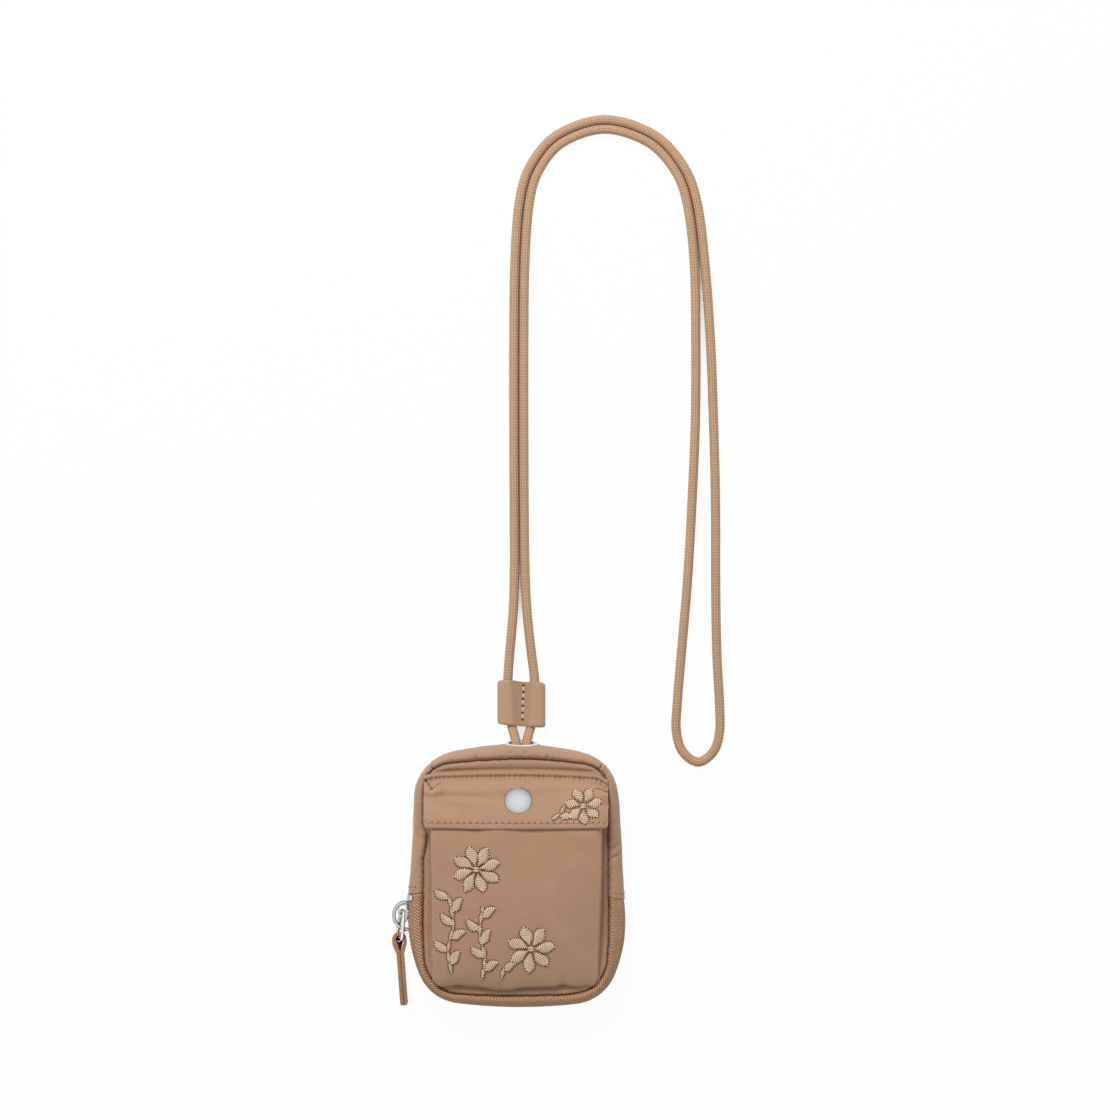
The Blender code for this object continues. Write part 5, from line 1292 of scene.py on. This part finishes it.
def stitch_row(name, lines, material, body, pitch, length, width, uneven=0.0):
    """A row of stitches on some lines, each line given as points and up directions."""
    mesh = path_mesh(name, [spots for spots, _ in lines], [ups for _, ups in lines])
    row = grow(name, mesh, ALONG_PATH, {
        "Shape": STITCH, "Pitch": pitch, "Size": (length, width, width), "Uneven": uneven}, material)
    return dress(row, body, "nylon")


def grid_normals(grid):
    """Outward unit normals of a grid of points that runs round the pouch."""
    normal = np.cross(np.gradient(grid, axis=0), np.gradient(grid, axis=1))
    normal /= np.maximum(np.linalg.norm(normal, axis=-1, keepdims=True), 1e-12)
    middle = np.array([0.0, 0.0, MID_Z])
    return normal * np.sign(np.sum(normal * (grid - middle), axis=-1, keepdims=True))


# %% Stitches of the hems and seams
HEM_STITCHES = 28
SEAM_PITCH = 1.9 * MM
# The holes between the hem stitches are dark pills of painted shade.
for name, count, material, length, width in (
    ("flap_hem_stitches", HEM_STITCHES, HEM_THREAD, 2.5 * MM, 0.62 * MM),
    ("flap_hem_holes", HEM_STITCHES - 1, HOLE_SHADE, 0.8 * MM, 0.5 * MM),
):
    hem_x = np.linspace(-0.5, 0.5, 240) * (count - 1) * STITCH_PITCH
    hem_line = surface_line(flap, hem_x, np.full_like(hem_x, HEM_LINE), 0.05 * MM)
    stitch_row(name, [hem_line], material, "flap", STITCH_PITCH, length, width)

seam_xy = on_line(SEAM_RADIUS, np.linspace(0.0, TAU, 900))
for name, level, facing, length, width, uneven in (
    ("front_seam_stitches", FRONT_Z - 1.15 * MM, 1.0, 1.1 * MM, 0.5 * MM, 0.75),
    ("back_seam_stitches", 1.3 * MM, -1.0, 1.5 * MM, 0.4 * MM, 0.0),
):
    seam_line = np.column_stack([seam_xy, np.full(len(seam_xy), level)])
    seam_up = np.tile([0.0, 0.0, facing], (len(seam_xy), 1))
    stitch_row(name, [(seam_line, seam_up)], SEAM_THREAD_AND_SHADE, "pouch", SEAM_PITCH, length, width, uneven)
hem_lines = []
gusset_up = grid_normals(gusset_grid)
for edge in (0, len(gusset_angles) - 1):
    marks = run_lengths(gusset_grid[len(gusset_turns) // 2], 0)
    column = int(np.argmin(np.abs(np.abs(marks - marks[edge]) - 3.1 * MM)))
    keep = slice(3, len(gusset_turns) - 3)
    up = gusset_up[keep, column]
    hem_lines.append((gusset_grid[keep, column] + 0.62 * MM * up, up))
stitch_row("gusset_hem_stitches", hem_lines, HEM_THREAD, "pouch", STITCH_PITCH, 2.3 * MM, 0.55 * MM)
# The gusset's needle holes are dark pills of painted shade.
hole_lines = [(line[4:], up[4:]) for line, up in hem_lines]
stitch_row("gusset_hem_holes", hole_lines, HOLE_SHADE, "pouch", STITCH_PITCH, 0.9 * MM, 0.6 * MM)
print("stitches on the flap's hem, both seams and the gusset's ends")

# %% [markdown]
# ## Zip chain
# Each half of a coil zip is one nylon wire wound into flat loops, and the loops of the two halves mesh.
# The chain shows at the pouch's edge as small even bumps. The same path tree sets the loops, once for
# each half, with the second half a little further on.

# %% Coil loops
COIL_PITCH = 1.75 * MM
COIL_WIRE = 0.38 * MM
COIL_LENGTH = 2.9 * MM
COIL_DEPTH = 1.9 * MM
COIL_FIT = [(189, 0.6), (215, 0.6), (232, 0.95), (245, 1.3), (348, 1.3)]


def loop_shape(length, depth, wire, segments=12, sides=5):
    """One flat loop of wire, standing across the path."""
    spots = []
    for step in range(segments):
        angle = TAU * step / segments
        rise, out = math.sin(angle), math.cos(angle)
        middle = Vector((0.12 * length * rise, 0.5 * length * out, 0.5 * depth * rise))
        for side in range(sides):
            turn = TAU * side / sides
            away = Vector((0.0, out, rise)) * math.cos(turn) + Vector((1.0, 0.0, 0.0)) * math.sin(turn)
            spots.append(middle + away * wire)
    return hidden_shape("coil_loop", spots, sides, closed=True)


LOOP = loop_shape(COIL_LENGTH, COIL_DEPTH, COIL_WIRE)
chain_angles = np.linspace(ZIP_LEFT + math.radians(2.5), TAU + ZIP_RIGHT - math.radians(1.8), 900)
for name, node, shift, first, sunk in (
    ("coil_front", "zip_coil_front", 0.75 * MM, 0, 0.0),
    ("coil_back", "zip_coil_back", -0.75 * MM, 2, 0.4 * MM),
):
    inset = fit(TAPE_FIT, chain_angles) + fit(COIL_FIT, chain_angles) + sunk
    chain_xy = on_line(BODY_RADIUS, chain_angles, inset)
    chain_out = chain_xy / np.linalg.norm(chain_xy, axis=1, keepdims=True)
    chain_out = np.column_stack([chain_out, np.zeros(len(chain_xy))])
    line = np.column_stack([chain_xy, np.full(len(chain_xy), MID_Z + shift)])[first:]
    mesh = path_mesh(name, [line], [chain_out[first:]])
    coil = grow(name, mesh, ALONG_PATH, {"Shape": LOOP, "Pitch": COIL_PITCH, "Size": (1.0, 1.0, 1.0)}, COIL)
    dress(coil, "pouch", "zip_chain", node)
print("zip chain of", len(coil.data.polygons) // 60, "loops on each side")

# %% [markdown]
# ## Snap and eyelet
# A snap fastener is four turned and pressed pieces; the cap is the one that shows. The cap is turned
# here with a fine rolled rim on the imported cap's own axis, which leans with the flap. The eyelet is a
# pressed ring in the top of the gusset. It leans a little too, so that its face shows as a thin
# crescent under the cord.

# %% Turned metal


def node_axis(node, lean):
    """A placing matrix for a turned node: its middle, with Z along an axis that leans in the YZ plane."""
    low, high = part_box(node)
    return Matrix.Translation((low + high) / 2) @ Matrix.Rotation(lean, 4, "X")


SNAP_LEAN = -math.radians(24)
CAP_PROFILE = [(0.0, 1.0), (1.5, 0.98), (3.0, 0.86), (4.4, 0.62), (5.4, 0.33), (5.95, 0.08), (6.25, -0.08),
               (6.45, -0.3), (6.48, -0.5), (6.38, -0.66), (6.1, -0.72), (5.0, -0.7), (0.0, -0.7)]
snap_cap = lathe("snap_cap_nickel", CAP_PROFILE, CAP_STEEL, node_axis("snap_cap", SNAP_LEAN))
dress(snap_cap, "flap", "steel", "snap_cap")

EYELET_PLACE = (Matrix.Translation((EYELET_X, EYELET_Y, MID_Z))
                @ Matrix.Rotation(EYELET_LEAN, 4, "X") @ Matrix.Rotation(-math.pi / 2, 4, "X"))
EYELET_PROFILE = [(5.6, -2.6), (5.75, -2.6), (5.8, -0.5), (6.1, -0.4), (6.9, -0.6), (7.3, -0.55),
                  (7.6, -0.2), (7.65, 0.3), (7.45, 0.75), (7.0, 1.05), (6.5, 1.08), (6.0, 0.85),
                  (5.68, 0.4), (5.6, -0.3), (5.6, -2.6)]
eyelet = lathe("eyelet_nickel", EYELET_PROFILE, EYELET_STEEL, EYELET_PLACE)
dress(eyelet, "pouch", "steel", "eyelet")
print("cap", len(snap_cap.data.polygons), "faces, eyelet", len(eyelet.data.polygons))

# %% [markdown]
# ## Keeper
# The keeper is one piece of calf leather folded round both strands and sewn between them, so it is a flat
# tube with a valley down its middle. It is swept along the cord from one closed outline; the leather's
# thickness goes inwards. Its colour is darker the deeper a point lies in the valley: painted shade. The row
# of needle holes, dark marks of painted shade, and the thread between them come from the path tree.

# %% Shape of the keeper
KEEPER_X = EYELET_X
KEEPER_HALF = 11.1 * MM
KEEPER_MID = 3.72 * MM
KEEPER_TOP = 89.3 * MM
KEEPER_LOW = 68.4 * MM
VALLEY = 2.6 * MM
KEEPER_THICK = 1.0 * MM
SEW_TOP = np.array([3.4, 88.2]) * MM
SEW_LOW = np.array([2.95, 70.4]) * MM
HOLES = 6
HOLE_START = 0.9 * MM
HOLE_PITCH = 3.17 * MM


def keeper_grid(steps=120, rows=50):
    """Points round and along the keeper, and how deep in its valley each of them lies."""
    turn = np.linspace(0.0, TAU, steps, endpoint=False)
    across = np.sign(np.cos(turn)) * np.abs(np.cos(turn)) ** 0.5
    rise = np.sign(np.sin(turn)) * np.abs(np.sin(turn)) ** 0.8
    x = KEEPER_HALF * across
    z = KEEPER_MID + KEEPER_MID * 0.98 * rise
    top = KEEPER_TOP - 0.6 * MM * across - 0.5 * MM * bump_at(x, 2.0 * MM, 4.5 * MM) - 0.9 * MM * across ** 10
    low = KEEPER_LOW - 0.8 * MM * across + 0.4 * MM * across ** 10
    share = np.concatenate([[0.0, 0.006, 0.014, 0.024], np.linspace(0.04, 0.96, rows), [0.98, 0.992, 1.0]])
    share = share[:, None]
    y = low[None, :] + (top - low)[None, :] * share
    left = x[None, :] + 1.3 * MM * share
    right = x[None, :] - 1.4 * MM * share
    valley = 0.55 * ease(left, -4.9 * MM, -1.6 * MM) + 0.45 * ease(left, -3.4 * MM, 1.6 * MM)
    valley = valley * (1 - ease(right, -0.2 * MM, 5.4 * MM))
    z = z[None, :] - (np.where(rise > 0, VALLEY, -0.25 * MM) * np.abs(rise))[None, :] * valley
    shrink = 0.35 * MM * np.exp(-((1 - share) * 20 * MM / (0.3 * MM)) ** 1.5)
    shrink = shrink + 0.5 * MM * np.exp(-(share * 20 * MM / (0.45 * MM)) ** 1.5)
    x = x[None, :] * (1 - shrink / KEEPER_HALF)
    z = KEEPER_MID + (z - KEEPER_MID) * (1 - shrink / KEEPER_MID)
    return np.stack(np.broadcast_arrays(KEEPER_X + x, y, z), axis=-1), valley * (rise > 0)


# %% Keeper and its sewing
keeper_points, keeper_valley = keeper_grid()
keeper = thicken(skin("keeper_leather", keeper_points[:, ::-1], LEATHER, wrap=True), KEEPER_THICK)
# The valley depth goes into the reach attribute, which the leather's finish turns into painted shade.
valley_shade = keeper.data.attributes.new("reach", "FLOAT", "POINT")
valley_shade.data.foreach_set("value", np.cbrt(keeper_valley[:, ::-1]).astype(np.float32).ravel())
dress(keeper, "keeper", "leather", "cord_keeper")
sew_xy = np.linspace(SEW_TOP, SEW_LOW, 60)
sew_line, sew_up = surface_line(keeper, sew_xy[:, 0], sew_xy[:, 1], 0.02 * MM)
sew_run = run_lengths(sew_line, 0)


def keeper_row(name, start, count, size, material):
    """Some small shapes on the sewing line, one on each step of it."""
    marks = np.linspace(start, start + (count - 1) * HOLE_PITCH + 1e-5, 40)
    line, up = [np.stack([np.interp(marks, sew_run, values[:, axis]) for axis in range(3)], axis=-1)
                for values in (sew_line, sew_up)]
    row = grow(name, path_mesh(name, [line], [up]), ALONG_PATH,
               {"Shape": STITCH, "Pitch": HOLE_PITCH, "Size": [side * MM for side in size]}, material)
    return dress(row, "keeper", "leather")


# The keeper's needle holes are dark pills of painted shade.
keeper_holes = keeper_row("keeper_holes", HOLE_START, HOLES, (1.2, 1.15, 0.22), HOLE_SHADE)
keeper_thread = keeper_row("keeper_stitches", HOLE_START + HOLE_PITCH / 2, HOLES - 1, (2.1, 1.0, 0.6), THREAD)
print("keeper with", HOLES, "holes")

# %% [markdown]
# ## Embroidery
# Satin stitch is a row of threads laid side by side across a shape, each a low arch between two needle
# holes. A leaf or a petal is a centre line with a width; the tree sets one thread on every step of it,
# turned across the line and stretched to the width. The motifs are plain daisies and sprigs in pale thread.

# %% Node tree for satin stitch
THREAD_STEP = 0.85 * MM
THREAD_WIDTH = 0.74 * MM
THREAD_LIFT = 0.85 * MM
NEEDLE_HOLE = 0.42 * MM
NEEDLE_DEPTH = 0.12 * MM
NEEDLE_GAP = 0.25 * MM


def satin_tree():
    """Points with a thread on each, laid across and stretched to the point's own reach."""
    net, given = shape_tree("satin threads", [("Points", "Geometry"), ("Width", "Float"), ("Lift", "Float")])
    size = net.add("ShaderNodeCombineXYZ", {
        "X": carried(net, "reach", "FLOAT"), "Y": given["Width"], "Z": given["Lift"]}).outputs[0]
    return set_shapes(net, given, given["Points"], carried(net, "across"), size)


def thread_shape(rings=7, sides=5):
    """A thread from -1 to 1 that rises in an arch and dives at its ends."""
    spots = []
    for step in range(rings):
        x = -1 + 2 * step / (rings - 1)
        arch = 0.85 * (1 - x ** 4) - 0.3 * abs(x) ** 6
        for side in range(sides):
            turn = TAU * side / sides
            spots.append((x, 0.5 * math.cos(turn), arch + 0.25 * math.sin(turn)))
    return hidden_shape("satin_thread", spots, sides)


SATIN = satin_tree()
SATIN_THREAD = thread_shape()
print("node trees:", ALONG_PATH.name, "and", SATIN.name)

# %% Leaves, daisies and sprigs
DICE = np.random.default_rng(41)


def leaf(root, tip, width, bend=0.0, slant=0.25, blunt=0.75):
    """Threads across a leaf: middle points, directions across and half widths, in millimetres."""
    root, tip = np.array(root, dtype=float), np.array(tip, dtype=float)
    line = tip - root
    length = np.linalg.norm(line)
    ahead = line / length
    side = np.array([-ahead[1], ahead[0]])
    share = np.linspace(0.03, 0.97, max(round(0.94 * length * MM / THREAD_STEP) + 1, 4))
    spots = root + share[:, None] * line + (bend * np.sin(math.pi * share))[:, None] * side
    tangent = np.gradient(spots, axis=0)
    tangent /= np.linalg.norm(tangent, axis=1, keepdims=True)
    across = np.column_stack([-tangent[:, 1], tangent[:, 0]]) + slant * tangent
    across /= np.linalg.norm(across, axis=1, keepdims=True)
    reach = 0.5 * width * np.sin(math.pi * share ** blunt) ** 0.75
    reach = reach + DICE.uniform(-0.12, 0.22, len(share))
    return spots, across, np.maximum(reach, 0.35)


def daisy(centre, radius, petals, turn, width):
    """Petals round a centre, with a small knot of thread in the middle."""
    shapes = []
    for petal in range(petals):
        angle = turn + TAU * petal / petals
        way = np.array([math.cos(angle), math.sin(angle)])
        length = radius * (1 + 0.08 * math.sin(3.1 * petal))
        shapes.append(leaf(np.array(centre) + 2.0 * way, np.array(centre) + length * way, width, blunt=1.35))
    for ring in range(2):
        lift = np.array([0.0, 0.55 - 1.1 * ring])
        shapes.append(leaf(np.array(centre) + lift - (1.1, 0.0), np.array(centre) + lift + (1.1, 0.0), 1.5))
    return shapes


def sprig(points, leaf_length, leaf_width):
    """A stem through some points with a leaf on each side in turn."""
    path = smooth_path([Vector((x, y, 0.0)) for x, y in points], 10)[:, :2]
    marks = run_lengths(path, 0)

    def stem_at(mark):
        return np.array([np.interp(mark, marks, path[:, axis]) for axis in range(2)])

    shapes = []
    for start in np.arange(0.0, marks[-1] - 2.0, 5.2):
        shapes.append(leaf(stem_at(start), stem_at(start + 4.6), 1.7, blunt=1.0))
    for index, mark in enumerate(np.arange(4.0, marks[-1] + 1.0, 6.2)):
        root = stem_at(mark)
        ahead = root - stem_at(mark - 1.0)
        ahead = ahead / np.linalg.norm(ahead)
        side = np.array([-ahead[1], ahead[0]]) * (1 if index % 2 else -1)
        way = 0.72 * ahead + 0.7 * side
        shapes.append(leaf(root + 0.9 * side, root + 0.9 * side + leaf_length * way, leaf_width, 0.5))
    return shapes


def point_mesh(name, spots, across, up, reach):
    """Bare points with the facts that the satin tree reads at each of them."""
    mesh = bpy.data.meshes.new(name + "_points")
    mesh.from_pydata(spots.tolist(), [], [])
    for label, kind, field, values in (
        ("across", "FLOAT_VECTOR", "vector", across), ("up", "FLOAT_VECTOR", "vector", up),
        ("reach", "FLOAT", "value", reach),
    ):
        layer = mesh.attributes.new(label, kind, "POINT")
        layer.data.foreach_set(field, values.astype(np.float32).ravel())
    return mesh


def embroider(name, shapes, cloth, body):
    """Lays every thread of some shapes on a cloth, and a dark mark of painted shade for the needle hole at
    each thread's end.
    """
    spots = np.concatenate([shape[0] for shape in shapes]) * MM
    across = np.concatenate([shape[1] for shape in shapes])
    reach = np.concatenate([shape[2] for shape in shapes]) * MM
    line, up = surface_line(cloth, spots[:, 0], spots[:, 1], 0.0)
    assert len(line) == len(spots), name + ": a thread lies off the cloth"
    across = np.column_stack([across, np.zeros(len(across))])
    across = across - up * np.sum(across * up, axis=1, keepdims=True)
    past = (reach + NEEDLE_GAP)[:, None]
    ends = np.concatenate([line + across * past, line - across * past])
    across_ends, up_ends = np.tile(across, (2, 1)), np.tile(up, (2, 1))
    threads = point_mesh(name, line, across, up, reach)
    holes = point_mesh(name, ends, across_ends, up_ends, np.full(len(ends), NEEDLE_HOLE))
    # The needle holes are dark marks of painted shade.
    for label, mesh, width, lift, material in (
        (name, threads, THREAD_WIDTH, THREAD_LIFT, THREAD),
        (name + "_holes", holes, NEEDLE_HOLE, NEEDLE_DEPTH, SEAM_THREAD_AND_SHADE),
    ):
        piece = grow(label, mesh, SATIN, {"Shape": SATIN_THREAD, "Width": width, "Lift": lift}, material)
        dress(piece, body, "nylon")
    return len(spots)


# %% [markdown]
# The motifs are set out in millimetres on the flat cloth: two daisies and three sprigs on the pocket, and
# one of each on the flap. The threads are then dropped on the shaped cloth, so that they follow its folds.

# %% Motifs on the pocket and the flap
pocket_shapes = (
    daisy((-18.0, 3.5), 11.0, 8, 0.3, 5.2) + daisy((7.0, -33.0), 10.8, 7, 0.1, 5.6)
    + sprig([(-29.5, -44.0), (-31.0, -33.0), (-28.5, -22.0), (-30.5, -9.0)], 7.0, 4.2)
    + sprig([(-15.5, -46.5), (-14.0, -37.0), (-16.5, -26.0), (-15.0, -13.5)], 7.0, 4.2)
    + sprig([(-6.5, -46.5), (-5.5, -42.0)], 5.6, 3.6))
flap_shapes = (
    daisy((31.0, 32.4), 8.2, 7, 0.25, 4.6)
    + sprig([(16.5, 26.4), (20.0, 28.5), (22.5, 32.5)], 5.6, 3.6))
count = embroider("pocket_embroidery", pocket_shapes, pocket, "pouch")
count += embroider("flap_embroidery", flap_shapes, flap, "flap")
print(count, "embroidery threads")

# %% [markdown]
# ## Slider, stops and the pieces that keep their solids
# The slider's body, the bottom stop, the pull and all that is hidden have their true shape in the packed
# solids and only need soft edges and a finish. The ring is a copy of its solid, swollen and smoothed. The
# bridge that it hangs in is a bent tube, and each top stop is a strip of metal pressed round the tape.

# %% Ring, bridge, stops and soft edges


def soften(node, width, material):
    """Joins a solid's facets, rounds its sharp edges and gives it a finish."""
    solid = NODES[node]
    solid.data.materials.clear()
    solid.data.materials.append(material)
    weld = solid.modifiers.new("weld", "WELD")
    weld.merge_threshold = 0.002 * MM
    bevel = solid.modifiers.new("bevel", "BEVEL")
    bevel.width = width
    bevel.segments = 2
    bevel.limit_method = "ANGLE"
    bevel.angle_limit = math.radians(35)
    bevel.harden_normals = True
    solid.data.shade_smooth()


def plump(name, node, swell, material):
    """A copy of a solid with its facets joined, swollen a little and made smooth."""
    shape = bmesh.new()
    shape.from_mesh(NODES[node].data)
    bmesh.ops.remove_doubles(shape, verts=shape.verts, dist=0.002 * MM)
    shape.normal_update()
    moves = [(v, v.normal * swell) for v in shape.verts]
    for vertex, move in moves:
        vertex.co += move
    mesh = bpy.data.meshes.new(name)
    shape.to_mesh(mesh)
    shape.free()
    piece = add_piece(name, mesh, material)
    smooth = piece.modifiers.new("smooth", "SUBSURF")
    smooth.levels = 1
    smooth.render_levels = 1
    return piece


RING_SWELL = 0.22 * MM
# The bridge's middle line on the pouch's mid level, in millimetres
BRIDGE_ROUTE = [(-49.4, -13.0), (-51.8, -12.7), (-54.2, -13.7), (-55.9, -16.2), (-56.3, -19.1),
                (-55.5, -21.9), (-53.6, -24.0), (-51.2, -25.0), (-49.0, -25.2)]
BRIDGE_SIDES = 16
BRIDGE_HALF = 0.8 * MM
BRIDGE_WIDER = 0.7 * MM
CLIP_LIFT = 0.5 * MM
CLIP_THICK = 0.9 * MM
dress(plump("ring_nickel", "slider_ring", RING_SWELL, RING_STEEL), "ring", "steel", "slider_ring")
bridge_path = smooth_path([Vector((x * MM, y * MM, MID_Z)) for x, y in BRIDGE_ROUTE], 8)
bridge_flare = np.sin(TAU * np.arange(BRIDGE_SIDES) / BRIDGE_SIDES) ** 2
bridge = tube_skin("bridge_nickel", bridge_path, BRIDGE_HALF, BRIDGE_SIDES, STEEL,
                   np.tile(BRIDGE_WIDER * bridge_flare, (len(bridge_path), 1)))
dress(bridge, "slider", "steel")
clip_angles = np.radians(np.linspace(190.75, 193.5, 9))
for node, name, start, end in (
    ("zip_top_stop_front", "top_stop_nickel_front", 50, 6),
    ("zip_top_stop_back", "top_stop_nickel_back", -6, -50),
):
    grid = sleeve(clip_angles, np.radians(np.linspace(start, end, 12)), fit(TAPE_FIT, clip_angles), 0.0)
    clip = thicken(skin(name, grid + CLIP_LIFT * grid_normals(grid), RING_STEEL), CLIP_THICK)
    dress(clip, "pouch", "steel", node)
for node in ("slider_body", "zip_bottom_stop", "snap_socket", "snap_stud", "snap_post", "eyelet_washer"):
    soften(node, 0.12 * MM, STEEL)
soften("pull_tab", 0.25 * MM, PULL_LEATHER)
for node in ("front_lining", "back_lining", "front_seam_binding", "back_seam_binding"):
    soften(node, 0.05 * MM, LINING)
soften("cord_knot", 0.05 * MM, KNOT)
print("bridge", len(bridge.data.polygons), "faces, top stops", len(clip.data.polygons), "each")

# %% [markdown]
# The pull is a strip of leather folded through the ring. The fold leaves an eye round the wire, the two
# layers show as a fine slit down the front and the back, and a row of stitches holds them at one edge.
# The shade inside the eye is painted on a dark sheet behind the wire. Each is a thin piece laid on the
# imported pull, placed from the pull's own joint and its lower end.

# %% Slit, eye and stitches of the pull
pull_spots = np.array([v.co for v in NODES["pull_tab"].data.vertices])
pull_end = pull_spots[pull_spots[:, 1] < pull_spots[:, 1].min() + 2 * MM].mean(axis=0)
pull_axis = next(joint["pos_m"] for joint in frame["joints"] if joint["name"] == "pull_swing")
lean = (pull_end[0] - pull_axis[0]) / (pull_end[1] - pull_axis[1])
offset = pull_end[0] - lean * pull_end[1]
down = np.array([pull_end[0] - pull_axis[0], pull_end[1] - pull_axis[1], 0.0])
down /= np.linalg.norm(down)
beside = np.array([-down[1], down[0], 0.0])
EYE_REACH = 1.85 * MM
EYE_TIP = 5.4 * MM
EYE_THICK = 0.5 * MM
WIRE_ROOM = 1.15 * MM
SLIT_POINTS = 40
SLIT_RADIUS = 0.17 * MM
around = np.linspace(0.0, TAU, 48, endpoint=False)
tip = np.maximum(np.cos(around), 0.0) ** 3
inner = WIRE_ROOM * (np.cos(around)[:, None] * down + np.sin(around)[:, None] * beside)
outer = (EYE_REACH * np.cos(around) + (EYE_TIP - EYE_REACH) * tip)[:, None] * down
outer = outer + (EYE_REACH * np.sin(around) * (1 - 0.5 * tip))[:, None] * beside
eye_grid = np.stack([outer, inner]) + np.array([pull_axis[0], pull_axis[1], MID_Z - 0.6 * MM])
# A dark sheet behind the wire: painted shade inside the eye.
eye_shade = thicken(skin("pull_eye_back", eye_grid, SEAM_THREAD_AND_SHADE, wrap=True), EYE_THICK)
dress(eye_shade, "pull", "leather")
pull_low, pull_high = pull_spots.min(axis=0), pull_spots.max(axis=0)
slit_y = np.linspace(pull_high[1] - 6.2 * MM, pull_low[1] + 0.1 * MM, SLIT_POINTS)
for side, level in (("front", pull_high[2] - 0.05 * MM), ("back", pull_low[2] + 0.05 * MM)):
    line = np.column_stack([lean * slit_y + offset, slit_y, np.full(SLIT_POINTS, level)])
    slit = tube_skin("pull_slit_" + side, line, SLIT_RADIUS, 8, SEAM_THREAD_AND_SHADE)
    dress(slit, "pull", "leather")
edge_y = slit_y[6:-3]
edge_x = lean * edge_y + offset + 1.7 * MM
edge_line = np.column_stack([edge_x, edge_y, np.full(len(edge_y), MID_Z + 1.6 * MM)])
edge_up = np.tile([1.0, 0.0, 0.0], (len(edge_y), 1))
stitch_row("pull_edge_stitches", [(edge_line, edge_up)], HEM_THREAD, "pull", 1.75 * MM, 1.6 * MM, 0.5 * MM)
print("pull", round((pull_high[1] - pull_low[1]) / MM, 1), "mm long")

# %% [markdown]
# ## Cut size of the bellows
# Last comes how large the bellows strip was cut: its mean width and length when laid flat.


def cut_size(grid):
    """Mean width and length of a grid of points when it is laid flat."""
    return float(run_lengths(grid, 1)[:, -1].mean()), float(run_lengths(grid, 0)[-1].mean())


strip, fold = cut_size(bellows_grid())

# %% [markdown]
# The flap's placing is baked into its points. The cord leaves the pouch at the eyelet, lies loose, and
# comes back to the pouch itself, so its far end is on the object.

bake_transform(flap)
